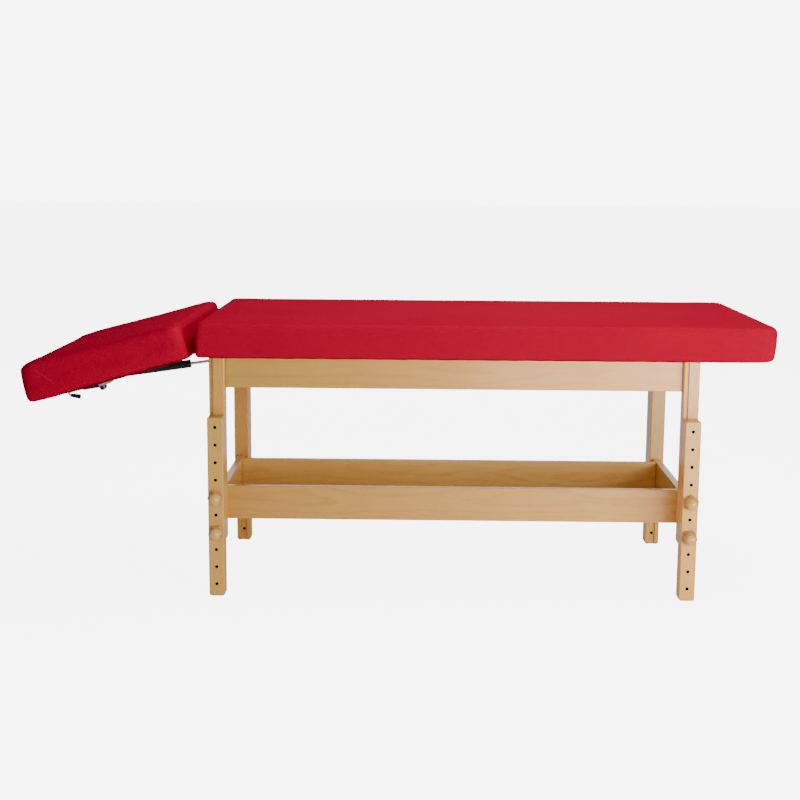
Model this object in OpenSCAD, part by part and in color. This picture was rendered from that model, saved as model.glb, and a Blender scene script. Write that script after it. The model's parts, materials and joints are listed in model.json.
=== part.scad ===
/* [Table top] */
// Width of the main pad and of the headrest
pad_w = 692; // [600:1:760]
// Height of a pad from the underside of its board to its highest line
pad_t = 88; // [60:1:110]
// Radius of a pad's corners, seen from above
pad_corner_r = 34; // [30:1:60]
// Radius of a pad's top edge
pad_edge_r = 24; // [12:1:26]
// Radius of a pad's bottom edge
pad_hem_r = 16; // [8:1:20]
// How far a pad's side is drawn in at the hem
pad_draw = 7; // [2:0.5:10]
// Rise of a pad's crown from its top edge to its middle
pad_crown = 4; // [1:0.5:8]
// Thickness of the plywood boards under the foam
board_t = 18; // [12:0.5:22]
// Width of the cover that folds in under the foam, up to the board
hem_fold = 3; // [2:0.5:8]
// How far the main pad reaches beyond the foot legs
foot_overhang = 169.5; // [60:0.5:250]
// How far the main pad reaches beyond the head legs
head_overhang = 21.5; // [20:0.5:30]
// How far the pads reach beyond the legs at each side
side_overhang = 46; // [36:0.5:70]

/* [Headrest] */
// Length of the headrest pad
head_l = 418; // [320:1:500]
// Tilt of the headrest below level, as it stands
head_tilt = 16.2; // [8:0.1:22]
// Gap between the two pads when the headrest is level
head_gap = 14; // [13:0.5:22]

/* [Frame] */
// Length over the outer faces of the legs
leg_span = 1235; // [900:1:1300]
// Width of every leg bar
leg_w = 40; // [36:0.5:50]
// Height of the aprons under the table top
apron_h = 87; // [80:1:120]
// Thickness of the aprons
apron_t = 18; // [16:0.5:22]

/* [Legs] */
// Length of an upper leg bar
upper_leg_l = 478; // [440:1:560]
// Thickness of an upper leg bar without its tongue
upper_leg_t = 35; // [32:0.5:44]
// Length of a lower leg bar
lower_leg_l = 463; // [455:1:475]
// Thickness of a lower leg bar
lower_leg_t = 44; // [36:0.5:50]
// Width of the tongue that runs in the lower leg's groove
tongue_w = 16.5; // [14:0.5:20]
// Height of the tongue above the upper leg's shoulders
tongue_h = 6.5; // [4:0.5:9]
// Distance between the height holes
hole_pitch = 45; // [42:0.5:46]
// Number of height holes in a lower leg
hole_count = 10; // [9:1:10]
// Height of the lowest hole above the floor
hole_bottom = 33; // [28:1:40]
// Diameter of the height holes
hole_d = 8.4; // [8.2:0.1:9]
// Number of holes below the one that the lower stud stands in
stud_hole_count = 3; // [0:1:6]
// Distance from the lower stud to the end of the upper leg
stud_end = 29; // [24:1:34]

/* [Studs and knobs] */
// Diameter of the threaded studs
stud_d = 8; // [6:0.5:8]
// Depth to which a stud is screwed into the upper leg
stud_bite = 24; // [16:1:30]
// Circle through the blunted corners of a knob's five-sided foot
knob_foot_d = 41; // [36:0.5:44]
// Thickness of the knob's foot
knob_foot_t = 13; // [9:0.5:16]
// Diameter of the knob's head
knob_head_d = 31; // [26:0.5:34]
// Height of the whole knob
knob_h = 38; // [34:0.5:44]
// Outer diameter of the threaded insert in a knob
insert_d = 12; // [11:0.5:14]
// Length of the threaded insert
insert_l = 20; // [14:0.5:24]

/* [Storage tray] */
// Height of the tray's boards
tray_h = 88; // [60:1:110]
// Height of the tray's boards above the ends of the upper legs
tray_up = 36; // [20:1:60]
// Thickness of the tray's end boards
tray_end_t = 19; // [15:0.5:22]
// Thickness of the tray's long boards
tray_side_t = 18; // [15:0.5:22]
// Distance of the long boards from the legs
tray_setback = 38; // [10:1:80]
// Thickness of the tray's bottom panel
panel_t = 5; // [4:0.5:8]
// Height of the panel's underside above the boards' lower edge
panel_up = 8; // [6:0.5:14]
// Depth of the groove that holds the panel
panel_groove = 5; // [4:0.5:7]

/* [Headrest hinges] */
// Distance between a hinge and the upper leg beside it
hinge_leg_gap = 11; // [9.5:0.5:60]
// Length of a hinge along its pin
hinge_l = 60; // [50:1:80]
// Width of one hinge leaf from the pin
leaf_w = 50; // [46:0.5:56]
// Thickness of a hinge leaf
leaf_t = 2; // [1.5:0.1:2.5]
// Radius of the hinge knuckles
knuckle_r = 4; // [3.5:0.1:4.5]
// Radius of the hinge pins
hinge_pin_r = 2; // [1.5:0.1:2.2]

/* [Locking gas spring] */
// Diameter of the spring's tube
tube_d = 22; // [20:0.5:22]
// Wall of the spring's tube
tube_wall = 2; // [1.5:0.1:2.5]
// Length of the tube from its pivot to its mouth
tube_l = 229; // [215:1:240]
// Diameter of the piston rod
rod_d = 8; // [7:0.5:10]
// Distance from the hinge pin to the tube's pivot, along the headrest
tube_pivot_out = 298; // [290:1:310]
// Distance of the tube's pivot below the headrest's board
tube_pivot_drop = 10.2; // [10:0.1:12]
// Distance of the rod's pin from the head apron
rod_pin_out = 18.5; // [18:0.5:20]
// Distance of the rod's pin below the hinge pin
rod_pin_drop = 47.3; // [46:0.1:50]
// Radius of the rod's pin
rod_pin_r = 4; // [3:0.1:4.2]
// Radial play of the rod's eye on its pin
rod_play = 2.3; // [2.2:0.1:2.6]

/* [Release lever] */
// Distance from the tube's pivot to the lever's bolt, along the headrest
lever_bolt_out = 20.6; // [19:0.1:22]
// Distance of the lever's bolt below the headrest's board
lever_bolt_drop = 38; // [36:0.5:42]
// Thickness of the lever's plate
lever_t = 10; // [8:0.5:14]
// Length of the lever's plate from its bolt
lever_l = 54; // [48:1:58]
// Diameter of the lever's bar
bar_d = 6; // [5:0.5:6]
// Length of the bar beyond the lever's plate
bar_l = 36; // [30:1:40]
// Length of the grip
grip_l = 27; // [22:1:30]
// Diameter of the grip
grip_d = 13.5; // [11:0.5:16]

/* [Hidden] */
$fn = 48;

wood = "#d9b27c";
red = "#be1c30";
steel = "#b9bcc0";
brass = "#c8a24a";
black = "#1c1c1f";

// The ends and sides of the table, and the two studs of a leg
head = -1;
foot = 1;
front = -1;
rear = 1;
low = "low";
high = "high";

// How far every cut runs past the face that it opens
over = 1;
// Gap between the two bars of a leg, so that they slide
slip = 0.15;
// Gap between a turning piece and the face that it turns on
turn_gap = 0.3;
// Radial clearance of a shaft that turns or slides in its bore
running = 0.05;

// How far the boards stay behind the pads' sides, and the radius of their corners
board_setback = pad_draw + pad_hem_r + hem_fold;
board_corner_r = pad_corner_r + hem_fold;

// Places along the table, worked out from the sizes above
pad_l = head_overhang + leg_span + foot_overhang;
frame_w = pad_w - 2 * side_overhang;
axis_to_top = pad_t + leaf_t;
head_out = head_gap / 2 + head_l;
head_reach = (head_out - pad_edge_r) * cos(head_tilt) + (axis_to_top - pad_edge_r) * sin(head_tilt)
    + pad_edge_r;
foot_end_x = (head_reach + head_gap / 2 + pad_l) / 2;
hinge_x = foot_end_x - pad_l - head_gap / 2;
leg_mid_x = foot_end_x - foot_overhang - leg_span / 2;
leg_run = leg_span / 2 - leg_w / 2;

// Heights, from the hole that the lower stud stands in
low_stud_z = hole_bottom + stud_hole_count * hole_pitch;
studs_apart = 2 * hole_pitch;
upper_leg_z = low_stud_z - stud_end;
top_z = upper_leg_z + upper_leg_l;
hinge_z = top_z - leaf_t;
tray_z = upper_leg_z + tray_up;
apron_z = top_z - apron_h;

// Height of a leg's lower or upper stud
function stud_z(place) = low_stud_z + (place == high ? studs_apart : 0);

// Depths, measured from the outer face of a leg
leg_t = lower_leg_t + slip + upper_leg_t;
inner_y = frame_w / 2 - leg_t;
hinge_y = inner_y - hinge_leg_gap - hinge_l / 2;
groove_w = tongue_w + 2 * slip;
groove_d = tongue_h + 2 * turn_gap;

// Rounded and bevelled edges of the bars and boards
bar_edge_r = 3;
board_edge_r = 1.5;
foot_bevel = 5;
head_bevel = 2;

// Dowels
dowel_d = 8;
dowel_depth = 20;
end_dowel_depth = 12;
dowel_slack = 0.5;
long_dowel_share = 0.32;
cross_dowel_share = 0.13;
tray_dowel_share = 0.22;
apron_dowel_rise = apron_h * long_dowel_share;
cross_dowel_rise = apron_h * cross_dowel_share;
tray_dowel_rise = tray_h * tray_dowel_share;

// Corner blocks and their screws
block_w = 62;
block_nose = 9;
block_h = 40;
block_screw_share = 0.3;
block_screw_at = block_w * block_screw_share;

// How far a knob's five points would reach past the circle that blunts them
knob_point_share = 1.08;
// Radius of the knob's domed end
knob_dome_share = 0.62;
knob_dome_r = knob_head_d * knob_dome_share;

// Wood screws
screw_d = 4;
screw_head_d = 8;
screw_head_t = 2;
screw_bite = 12;

// Hinges
knuckle_gap = 0.2;
leaf_root = knuckle_r + 2 * knuckle_gap;
leaf_screw_out = leaf_w - 2 * screw_d;
leaf_screw_run = hinge_l / 2 - 2 * screw_d;
middle_knuckle = hinge_l / 3;
pin_head_share = 1.5;
pin_head_r = hinge_pin_r * pin_head_share;
pin_head_t = 1.5;

// Gas spring, in the plane that halves the table
tube_pivot = [-tube_pivot_out, leaf_t - tube_pivot_drop];
tube_pivot_w = turned(tube_pivot, -head_tilt);
head_apron_face_x = leg_mid_x - leg_run - apron_t / 2;
rod_pin = [head_apron_face_x - rod_pin_out - hinge_x, -rod_pin_drop];
eye_centre = rod_pin + [0, rod_play - turn_gap];
spring_run = eye_centre - tube_pivot_w;
spring_angle = atan2(spring_run[1], spring_run[0]);
spring_l = norm(spring_run);
bore_r = tube_d / 2 - tube_wall;
trunnion_r = 3;
block_len = 22;
block_back = 8;
block_high = 15;
plug_l = 8;
guide_l = 16;
tube_lip = 1;
rod_inside = 96;
piston_l = 14;
eye_r = 11;
eye_t = 10;
eye_neck_r = 6.5;
eye_neck_l = 24;
rod_thread_l = 12;

// Brackets of the gas spring
ear_t = 2.5;
ear_side_gap = 2;
ear_gap = tube_d + 2 * ear_side_gap;
ear_flange = 16;
ear_front = 16;
ear_back = 28;
ear_drop = 32.5;
ear_corner = 12;
ear_lobe_r = 7;
ear_screw_in = 8;
rod_ear_t = 3;
rod_plate_t = 3;
rod_plate_h = 64;
rod_plate_w = 52;
rod_ear_r = 9;

// Release pin and lever
pin_r = 2.5;
pin_l = 46;
pin_collar_r = 4.5;
pin_collar_t = 3;
bolt_r = 3;
bolt_head_r = 5.5;
bolt_head_t = 4;
hub_r = 7.5;
crank_w = 10;
bar_wall = 1;
plate_end_h = 10.2;
plate_root_h = 16.8;
lever_bolt = tube_pivot - [lever_bolt_out, lever_bolt_drop - tube_pivot_drop];
crank_top = tube_pivot[1] + lever_bolt_out * tan(head_tilt - spring_angle) + crank_w / 2;
bar_z = lever_bolt[1] + hub_r + plate_end_h / 2 - bar_wall;
bar_bend_r = 5;
bar_bend_angle = 156;
bend_lap = 0.3;
tang_share = 0.75;
tang_r = bar_d / 2 * tang_share;
bar_socket = 12;
grip_socket_share = 0.6;
grip_socket = grip_l * grip_socket_share;
plate_end = lever_bolt[0] - lever_l;
grip_end_r = grip_l / 2 + turn_gap;
grip_tip_share = 0.72;
pin_back = lever_bolt_out - crank_w / 2 - 2 * turn_gap;

// A point of the plane that halves the table, turned about the hinge pin
function turned(p, a) = [p[0] * cos(a) + p[1] * sin(a), p[1] * cos(a) - p[0] * sin(a)];

// The section of a pad from the recess for its board to the middle of its top,
// as [distance in from the outline, height]
side_steps = 5;
arc_steps = 5;
crown_steps = 6;
lid_margin = 8.5;
function pad_section(half) = let (
        shoulder = pad_t - pad_crown,
        lid = pad_edge_r,
        reach = half - lid_margin)
    concat(
        [[board_setback, board_t], [board_setback, 0]],
        [for (k = [0:arc_steps]) let (a = 90 * k / arc_steps)
            [pad_draw + pad_hem_r * (1 - sin(a)), pad_hem_r * (1 - cos(a))]],
        [for (k = [1:side_steps]) let (u = k / side_steps)
            [pad_draw * pow(1 - u, 2), pad_hem_r + u * (shoulder - lid - pad_hem_r)]],
        [for (k = [1:arc_steps]) let (a = 90 * k / arc_steps)
            [lid * (1 - cos(a)), shoulder - lid * (1 - sin(a))]],
        [for (k = [1:crown_steps]) let (u = pow(k / crown_steps, 2))
            [lid + u * (reach - lid), shoulder + pad_crown * (1 - pow(1 - u, 3))]]);

// One ring of a pad: a rounded rectangle drawn in by `inset`. Its corners follow each other round
// the middle, each given by the signs of its two coordinates
corner_steps = 6;
corner_growth_share = 0.55;
corner_signs = [[1, 1], [-1, 1], [-1, -1], [1, -1]];
function pad_ring(l, w, inset, z) = let (
        grow = max(0, inset - board_setback) * corner_growth_share,
        r = min(pad_corner_r + grow, min(l, w) / 2 - inset))
    [for (c = [0:len(corner_signs) - 1]) let (s = corner_signs[c])
        for (k = [0:corner_steps]) let (a = 90 * (c + k / corner_steps))
            [s[0] * (l / 2 - inset - r) + r * cos(a), s[1] * (w / 2 - inset - r) + r * sin(a), z]];

// Foam and cover of a pad, open below where its board fills it
module pad(l, w) {
    section = pad_section(min(l, w) / 2);
    rings = len(section);
    sides = 4 * (corner_steps + 1);
    points = [for (s = section) each pad_ring(l, w, s[0], s[1])];
    walls = [for (j = [0:rings - 2], i = [0:sides - 1]) let (
            a = j * sides + i,
            b = j * sides + (i + 1) % sides)
        each [[a, a + sides, b], [b, a + sides, b + sides]]];
    ceiling = [for (i = [0:sides - 1]) i];
    lid = [for (i = [sides - 1:-1:0]) (rings - 1) * sides + i];
    polyhedron(points = points, faces = concat(walls, [ceiling, lid]));
}

// A board that stops short of the recess in its pad by a hair
module pad_board(l, w) {
    inset = board_setback + turn_gap;
    linear_extrude(board_t)
        soft_square(l - 2 * inset, w - 2 * inset, board_corner_r);
}

// A rectangle with round corners, centred
module soft_square(w, d, r) {
    square([w - 2 * r, d], center = true);
    square([w, d - 2 * r], center = true);
    for (x = [-1, 1], y = [-1, 1])
        translate([x * (w / 2 - r), y * (d / 2 - r)])
            circle(r);
}

// A board along X with eased edges, centred on X and Y, standing on its lower edge
module board_x(l, t, h) {
    translate([-l / 2, 0, h / 2])
        rotate([90, 0, 90])
            linear_extrude(l)
                soft_square(t, h, board_edge_r);
}

// The same board along Y
module board_y(l, t, h) {
    rotate([0, 0, 90])
        board_x(l, t, h);
}

// The outline of a bar of width w and length h whose ends are bevelled
module bevel_outline(w, h, bottom, top) {
    polygon([[-w / 2 + bottom, 0], [w / 2 - bottom, 0], [w / 2, bottom], [w / 2, h - top],
        [w / 2 - top, h], [-w / 2 + top, h], [-w / 2, h - top], [-w / 2, bottom]]);
}

// An upright bar, its outer face on Y = 0, with both ends bevelled all round
module bar(w, d, h, bottom, top) {
    intersection() {
        translate([0, d / 2, 0])
            linear_extrude(h)
                soft_square(w, d, bar_edge_r);
        translate([0, d, 0])
            rotate([90, 0, 0])
                linear_extrude(d)
                    bevel_outline(w, h, bottom, top);
        translate([-w / 2, d / 2, 0])
            rotate([90, 0, 90])
                linear_extrude(w)
                    bevel_outline(d, h, bottom, top);
    }
}

// Puts a piece at one corner of the frame. In its own frame the leg's centre is at X = 0,
// +X runs to the middle of the table, the outer face is Y = 0 and +Y runs inwards
module at_corner(end, side) {
    translate([leg_mid_x, 0, 0])
        mirror([end > 0 ? 1 : 0, 0, 0])
            mirror([0, side > 0 ? 1 : 0, 0])
                translate([-leg_run, -frame_w / 2, 0])
                    children();
}

// Repeats a piece at all four corners
module at_all_corners() {
    for (end = [-1, 1], side = [-1, 1])
        at_corner(end, side)
            children();
}

// A cylinder along +Y from a point
module rod_y(p, r, l) {
    translate(p)
        rotate([-90, 0, 0])
            cylinder(r = r, h = l);
}

// A cylinder along +X from a point
module rod_x(p, r, l) {
    translate(p)
        rotate([0, 90, 0])
            cylinder(r = r, h = l);
}

// Dowels of one corner, in the corner's frame. Their holes are a little deeper
module apron_dowels_here(extra) {
    depth = dowel_depth + extra;
    mid = apron_z + apron_h / 2;
    for (s = [-1, 1]) {
        rod_x([leg_w / 2 - depth, leg_t - apron_t / 2, mid + s * apron_dowel_rise], dowel_d / 2, 2 * depth);
        rod_y([0, leg_t - depth, mid + s * cross_dowel_rise], dowel_d / 2, 2 * depth);
    }
}

module tray_dowels_here(extra) {
    depth = dowel_depth + extra;
    mid = tray_z + tray_h / 2;
    for (s = [-1, 1]) {
        rod_y([0, leg_t - depth, mid + s * tray_dowel_rise], dowel_d / 2, 2 * depth);
        rod_x([tray_end_t / 2 - end_dowel_depth - extra, leg_t + tray_setback + tray_side_t / 2,
                mid + s * tray_dowel_rise], dowel_d / 2, depth + end_dowel_depth + extra);
    }
}

// Top board and main pad
module place_top() {
    translate([foot_end_x - pad_l / 2, 0, top_z])
        children();
}

module top_board() {
    color(wood) difference() {
        place_top()
            pad_board(pad_l, pad_w);
        at_all_corners()
            block_screw(running);
        table_hinge_screws(running);
    }
}

module main_pad() {
    color(red) place_top()
        pad(pad_l, pad_w);
}

// Aprons
module long_apron(side) {
    color(wood) difference() {
        translate([leg_mid_x, side * (inner_y + apron_t / 2), apron_z])
            board_x(2 * leg_run - leg_w, apron_t, apron_h);
        for (end = [-1, 1])
            at_corner(end, side)
                apron_dowels_here(dowel_slack);
    }
}

module cross_apron(end) {
    color(wood) difference() {
        translate([leg_mid_x + end * leg_run, 0, apron_z])
            board_y(2 * inner_y, apron_t, apron_h);
        for (side = [-1, 1])
            at_corner(end, side)
                apron_dowels_here(dowel_slack);
        rod_bracket_screws(running);
        hinge_seats();
    }
}

// Notches in the head apron for the hinges' leaves and the heads of their screws
module hinge_seats() {
    depth = screw_head_t + turn_gap;
    place_hinge()
        at_both_hinges()
            translate([0, -hinge_l / 2 - turn_gap, -depth])
                cube([leaf_w + turn_gap, hinge_l + 2 * turn_gap, depth + leaf_t + over]);
}

// Legs
module lower_leg() {
    color(wood) difference() {
        bar(leg_w, lower_leg_t, lower_leg_l, foot_bevel, head_bevel);
        translate([-groove_w / 2, lower_leg_t - groove_d, -over])
            cube([groove_w, groove_d + over, lower_leg_l + 2 * over]);
        for (k = [0:hole_count - 1])
            rod_y([0, -over, hole_bottom + k * hole_pitch], hole_d / 2, lower_leg_t + 2 * over);
    }
}

module upper_leg() {
    color(wood) difference() {
        union() {
            translate([0, lower_leg_t + slip, upper_leg_z])
                bar(leg_w, upper_leg_t, upper_leg_l, head_bevel, head_bevel);
            translate([-tongue_w / 2, lower_leg_t - tongue_h, upper_leg_z + head_bevel])
                cube([tongue_w, tongue_h + upper_leg_t / 2, upper_leg_l - 2 * head_bevel]);
        }
        apron_dowels_here(dowel_slack);
        tray_dowels_here(dowel_slack);
        studs_here(dowel_slack);
    }
}

// Studs of one corner: their ends are buried in the upper leg and reach out into the knobs
module studs_here(extra) {
    reach = insert_l - head_bevel;
    for (place = [low, high])
        rod_y([0, -reach, stud_z(place)], stud_d / 2,
            reach + lower_leg_t - tongue_h + stud_bite + extra);
}

module leg_studs() {
    color(steel) at_all_corners()
        studs_here(0);
}

// Knobs. In its own frame a knob stands on Z = 0 and grows along +Z
module knob_shape() {
    bevel = head_bevel;
    r = knob_foot_d / 2;
    head_r = knob_head_d / 2;
    difference() {
        union() {
            intersection() {
                cylinder(r = r * knob_point_share, h = knob_foot_t, $fn = 5);
                rotate_extrude()
                    polygon([[0, 0], [r - bevel, 0], [r, bevel], [r, knob_foot_t - 2 * bevel],
                        [r - 2 * bevel, knob_foot_t], [0, knob_foot_t]]);
            }
            intersection() {
                cylinder(r = head_r, h = knob_h);
                translate([0, 0, knob_h - knob_dome_r])
                    sphere(r = knob_dome_r);
            }
        }
        translate([0, 0, -over])
            cylinder(r = insert_d / 2, h = insert_l + over);
    }
}

module place_knob(end, side, place) {
    at_corner(end, side)
        translate([0, -turn_gap, stud_z(place)])
            rotate([90, 0, 0])
                children();
}

module knob(end, side, place) {
    color(wood) place_knob(end, side, place)
        knob_shape();
}

module insert(end, side, place) {
    color(brass) place_knob(end, side, place)
        difference() {
            cylinder(r = insert_d / 2, h = insert_l);
            translate([0, 0, -over])
                cylinder(r = stud_d / 2 + running, h = insert_l + 2 * over);
        }
}

// Storage tray
module panel_cut() {
    translate([leg_mid_x, 0, tray_z + panel_up + panel_t / 2])
        cube([2 * (leg_run - tray_end_t / 2 + panel_groove),
            2 * (inner_y - tray_setback - tray_side_t + panel_groove), panel_t], center = true);
}

module tray_long_board(side) {
    color(wood) difference() {
        translate([leg_mid_x, side * (inner_y - tray_setback - tray_side_t / 2), tray_z])
            board_x(2 * leg_run - tray_end_t, tray_side_t, tray_h);
        for (end = [-1, 1])
            at_corner(end, side)
                tray_dowels_here(dowel_slack);
        panel_cut();
    }
}

module tray_end_board(end) {
    color(wood) difference() {
        translate([leg_mid_x + end * leg_run, 0, tray_z])
            board_y(2 * inner_y, tray_end_t, tray_h);
        for (side = [-1, 1])
            at_corner(end, side)
                tray_dowels_here(dowel_slack);
        panel_cut();
    }
}

module tray_panel() {
    color(wood) panel_cut();
}

// Dowels, corner blocks and their screws
module dowels() {
    color(wood) at_all_corners() {
        apron_dowels_here(0);
        tray_dowels_here(0);
    }
}

module block_screw(extra) {
    translate([apron_t / 2 + block_screw_at, leg_t + block_screw_at, top_z - block_h])
        wood_screw(block_h + screw_bite, extra);
}

module corner_blocks() {
    color(wood) difference() {
        at_all_corners()
            translate([apron_t / 2, leg_t, top_z - block_h])
                linear_extrude(block_h)
                    polygon([[0, 0], [block_w, 0], [block_w, block_nose], [block_nose, block_w],
                        [0, block_w]]);
        at_all_corners()
            block_screw(running);
    }
}

// A round-headed wood screw: its head hangs below Z = 0 and its shank rises by l
module wood_screw(l, extra) {
    cylinder(r = screw_d / 2 + extra, h = l + extra);
    translate([0, 0, -screw_head_t])
        cylinder(r1 = screw_head_d / 2 - screw_head_t / 2, r2 = screw_head_d / 2, h = screw_head_t);
}

// Frame of the headrest: origin on the hinge pin, -X out along the headrest, +Z out of its pad
module place_headrest() {
    translate([hinge_x, 0, hinge_z])
        rotate([0, -head_tilt, 0])
            children();
}

module place_hinge() {
    translate([hinge_x, 0, hinge_z])
        children();
}

// One leaf, reaching along +X from the pin. The outer leaf has two knuckles, the inner one
module hinge_leaf(outer) {
    spans = outer ? [[-hinge_l / 2, -middle_knuckle / 2], [middle_knuckle / 2, hinge_l / 2]]
        : [[-middle_knuckle / 2 + knuckle_gap, middle_knuckle / 2 - knuckle_gap]];
    difference() {
        union() {
            translate([leaf_root, -hinge_l / 2, 0])
                cube([leaf_w - leaf_root, hinge_l, leaf_t]);
            for (s = spans) {
                translate([0, s[0], 0])
                    cube([leaf_root + over, s[1] - s[0], leaf_t]);
                rod_y([0, s[0], 0], knuckle_r, s[1] - s[0]);
            }
        }
        rod_y([0, -hinge_l, 0], hinge_pin_r + running, 2 * hinge_l);
        leaf_screws(running);
    }
}

module leaf_screws(extra) {
    for (y = [-1, 1])
        translate([leaf_screw_out, y * leaf_screw_run, 0])
            wood_screw(leaf_t + screw_bite, extra);
}

module at_both_hinges() {
    for (s = [-1, 1])
        translate([0, s * hinge_y, 0])
            children();
}

module table_hinge_screws(extra) {
    place_hinge()
        at_both_hinges()
            leaf_screws(extra);
}

module headrest_hinge_screws(extra) {
    place_headrest()
        mirror([1, 0, 0])
            at_both_hinges()
                leaf_screws(extra);
}

module table_hinge_leaves() {
    color(steel) place_hinge()
        at_both_hinges()
            hinge_leaf(true);
}

module headrest_hinge_leaves() {
    color(steel) place_headrest()
        mirror([1, 0, 0])
            at_both_hinges()
                hinge_leaf(false);
}

module hinge_pins() {
    color(steel) place_hinge()
        at_both_hinges() {
            rod_y([0, -hinge_l / 2, 0], hinge_pin_r, hinge_l);
            for (s = [-1, 1])
                rod_y([0, s * (hinge_l / 2 + pin_head_t / 2) - pin_head_t / 2, 0], pin_head_r, pin_head_t);
        }
}

// Bracket on the head apron and the pin that it holds
module rod_bracket() {
    face = head_apron_face_x - hinge_x;
    color(steel) difference() {
        place_hinge() {
            translate([face - rod_plate_t, -rod_plate_w / 2, rod_pin[1] - rod_plate_h / 2])
                cube([rod_plate_t, rod_plate_w, rod_plate_h]);
            for (s = [-1, 1])
                translate([0, s * (eye_t / 2 + turn_gap + rod_ear_t / 2) - rod_ear_t / 2, rod_pin[1]]) {
                    translate([rod_pin[0], 0, -rod_ear_r])
                        cube([face - rod_pin[0], rod_ear_t, 2 * rod_ear_r]);
                    rod_y([rod_pin[0], 0, 0], rod_ear_r, rod_ear_t);
                }
        }
        place_hinge()
            rod_y([rod_pin[0], -rod_plate_w / 2, rod_pin[1]], rod_pin_r, rod_plate_w);
        rod_bracket_screws(running);
    }
}

module rod_bracket_screws(extra) {
    for (y = [-1, 1], z = [-1, 1])
        translate([head_apron_face_x - rod_plate_t, y * (rod_plate_w / 2 - 2 * screw_d),
                hinge_z + rod_pin[1] + z * (rod_plate_h / 2 - 2 * screw_d)])
            rotate([0, 90, 0])
                wood_screw(rod_plate_t + screw_bite, extra);
}

module rod_pin() {
    half = eye_t / 2 + turn_gap + rod_ear_t;
    color(steel) place_hinge()
        translate([rod_pin[0], 0, rod_pin[1]]) {
            rod_y([0, -half, 0], rod_pin_r, 2 * half);
            for (s = [-1, 1])
                rod_y([0, s * (half + pin_head_t / 2) - pin_head_t / 2, 0],
                    rod_pin_r * pin_head_share, pin_head_t);
        }
}

module frame_screws() {
    color(steel) {
        at_all_corners()
            block_screw(0);
        table_hinge_screws(0);
        rod_bracket_screws(0);
    }
}

// Headrest
module place_head_pad() {
    place_headrest()
        translate([-head_gap / 2 - head_l / 2, 0, leaf_t])
            children();
}

module headrest_board() {
    color(wood) difference() {
        place_head_pad()
            pad_board(head_l, pad_w);
        headrest_hinge_screws(running);
        ear_screws(running);
    }
}

module headrest_pad() {
    color(red) place_head_pad()
        pad(head_l, pad_w);
}

// The two angle plates that carry the tube and the lever
module ear_outline() {
    back = tube_pivot[0] - ear_back;
    tip = tube_pivot[0] + ear_front;
    polygon([[back, leaf_t], [back, leaf_t - ear_drop], [tip - ear_corner, leaf_t - ear_drop],
        [tip, leaf_t - ear_drop + ear_corner / 2], [tip, leaf_t]]);
    translate([lever_bolt[0] - ear_lobe_r, lever_bolt[1]])
        square([2 * ear_lobe_r, ear_drop]);
    translate(lever_bolt)
        circle(ear_lobe_r);
}

module on_head_plane(t) {
    translate([0, t / 2, 0])
        rotate([90, 0, 0])
            linear_extrude(t)
                children();
}

module tube_bracket() {
    color(steel) place_headrest()
        for (s = [-1, 1])
            mirror([0, s > 0 ? 1 : 0, 0])
                difference() {
                    translate([0, -ear_gap / 2, 0]) {
                        translate([0, -ear_t / 2, 0])
                            on_head_plane(ear_t)
                                ear_outline();
                        translate([tube_pivot[0] - ear_back, -ear_flange, leaf_t - ear_t])
                            cube([ear_back + ear_front, ear_flange, ear_t]);
                    }
                    rod_y([tube_pivot[0], -ear_gap, tube_pivot[1]], trunnion_r + running, ear_gap);
                    rod_y([lever_bolt[0], -ear_gap, lever_bolt[1]], bolt_r, ear_gap);
                    ear_screws_here(running);
                }
}

module ear_screws_here(extra) {
    for (x = [tube_pivot[0] - ear_back + ear_screw_in, tube_pivot[0] + ear_front - ear_screw_in])
        translate([x, -ear_gap / 2 - ear_flange / 2, leaf_t - ear_t])
            wood_screw(ear_t + screw_bite, extra);
}

module ear_screws(extra) {
    place_headrest()
        for (s = [-1, 1])
            mirror([0, s > 0 ? 1 : 0, 0])
                ear_screws_here(extra);
}

module headrest_screws() {
    color(steel) {
        headrest_hinge_screws(0);
        ear_screws(0);
    }
}

module lever_bolt() {
    half = ear_gap / 2 + ear_t;
    color(black) place_headrest()
        translate([lever_bolt[0], 0, lever_bolt[1]]) {
            rod_y([0, -half, 0], bolt_r, 2 * half);
            for (s = [-1, 1])
                translate([0, s * (half + bolt_head_t / 2) + bolt_head_t / 2, 0])
                    rotate([90, 0, 0])
                        cylinder(r = bolt_head_r, h = bolt_head_t, $fn = 6);
        }
}

// Frame of the gas spring: origin on the tube's pivot, +Z along the tube to the rod's eye
module place_spring() {
    translate([hinge_x + tube_pivot_w[0], 0, hinge_z + tube_pivot_w[1]])
        rotate([0, 90 - spring_angle, 0])
            children();
}

module spring_tube() {
    r = tube_d / 2;
    color(black) place_spring()
        rotate_extrude()
            polygon([[bore_r, block_len - block_back], [r, block_len - block_back],
                [r, tube_l - tube_lip], [r - tube_lip, tube_l], [bore_r, tube_l]]);
}

module tube_end_block() {
    half = ear_gap / 2 + ear_t;
    color(steel) place_spring()
        difference() {
            union() {
                translate([-block_high / 2, -tube_d / 2, -block_back])
                    cube([block_high, tube_d, block_len]);
                cylinder(r = bore_r, h = block_len - block_back + plug_l);
                rod_y([0, -half, 0], trunnion_r, 2 * half);
            }
            translate([0, 0, -block_back - over])
                cylinder(r = pin_r + running, h = block_len + plug_l + 2 * over);
        }
}

module rod_guide() {
    color(steel) place_spring()
        translate([0, 0, tube_l - guide_l])
            difference() {
                cylinder(r = bore_r, h = guide_l);
                translate([0, 0, -over])
                    cylinder(r = rod_d / 2 + running, h = guide_l + 2 * over);
            }
}

module piston_rod() {
    color(steel) place_spring()
        translate([0, 0, tube_l - rod_inside])
            cylinder(r = rod_d / 2, h = spring_l - eye_neck_l + rod_thread_l - tube_l + rod_inside);
}

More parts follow.
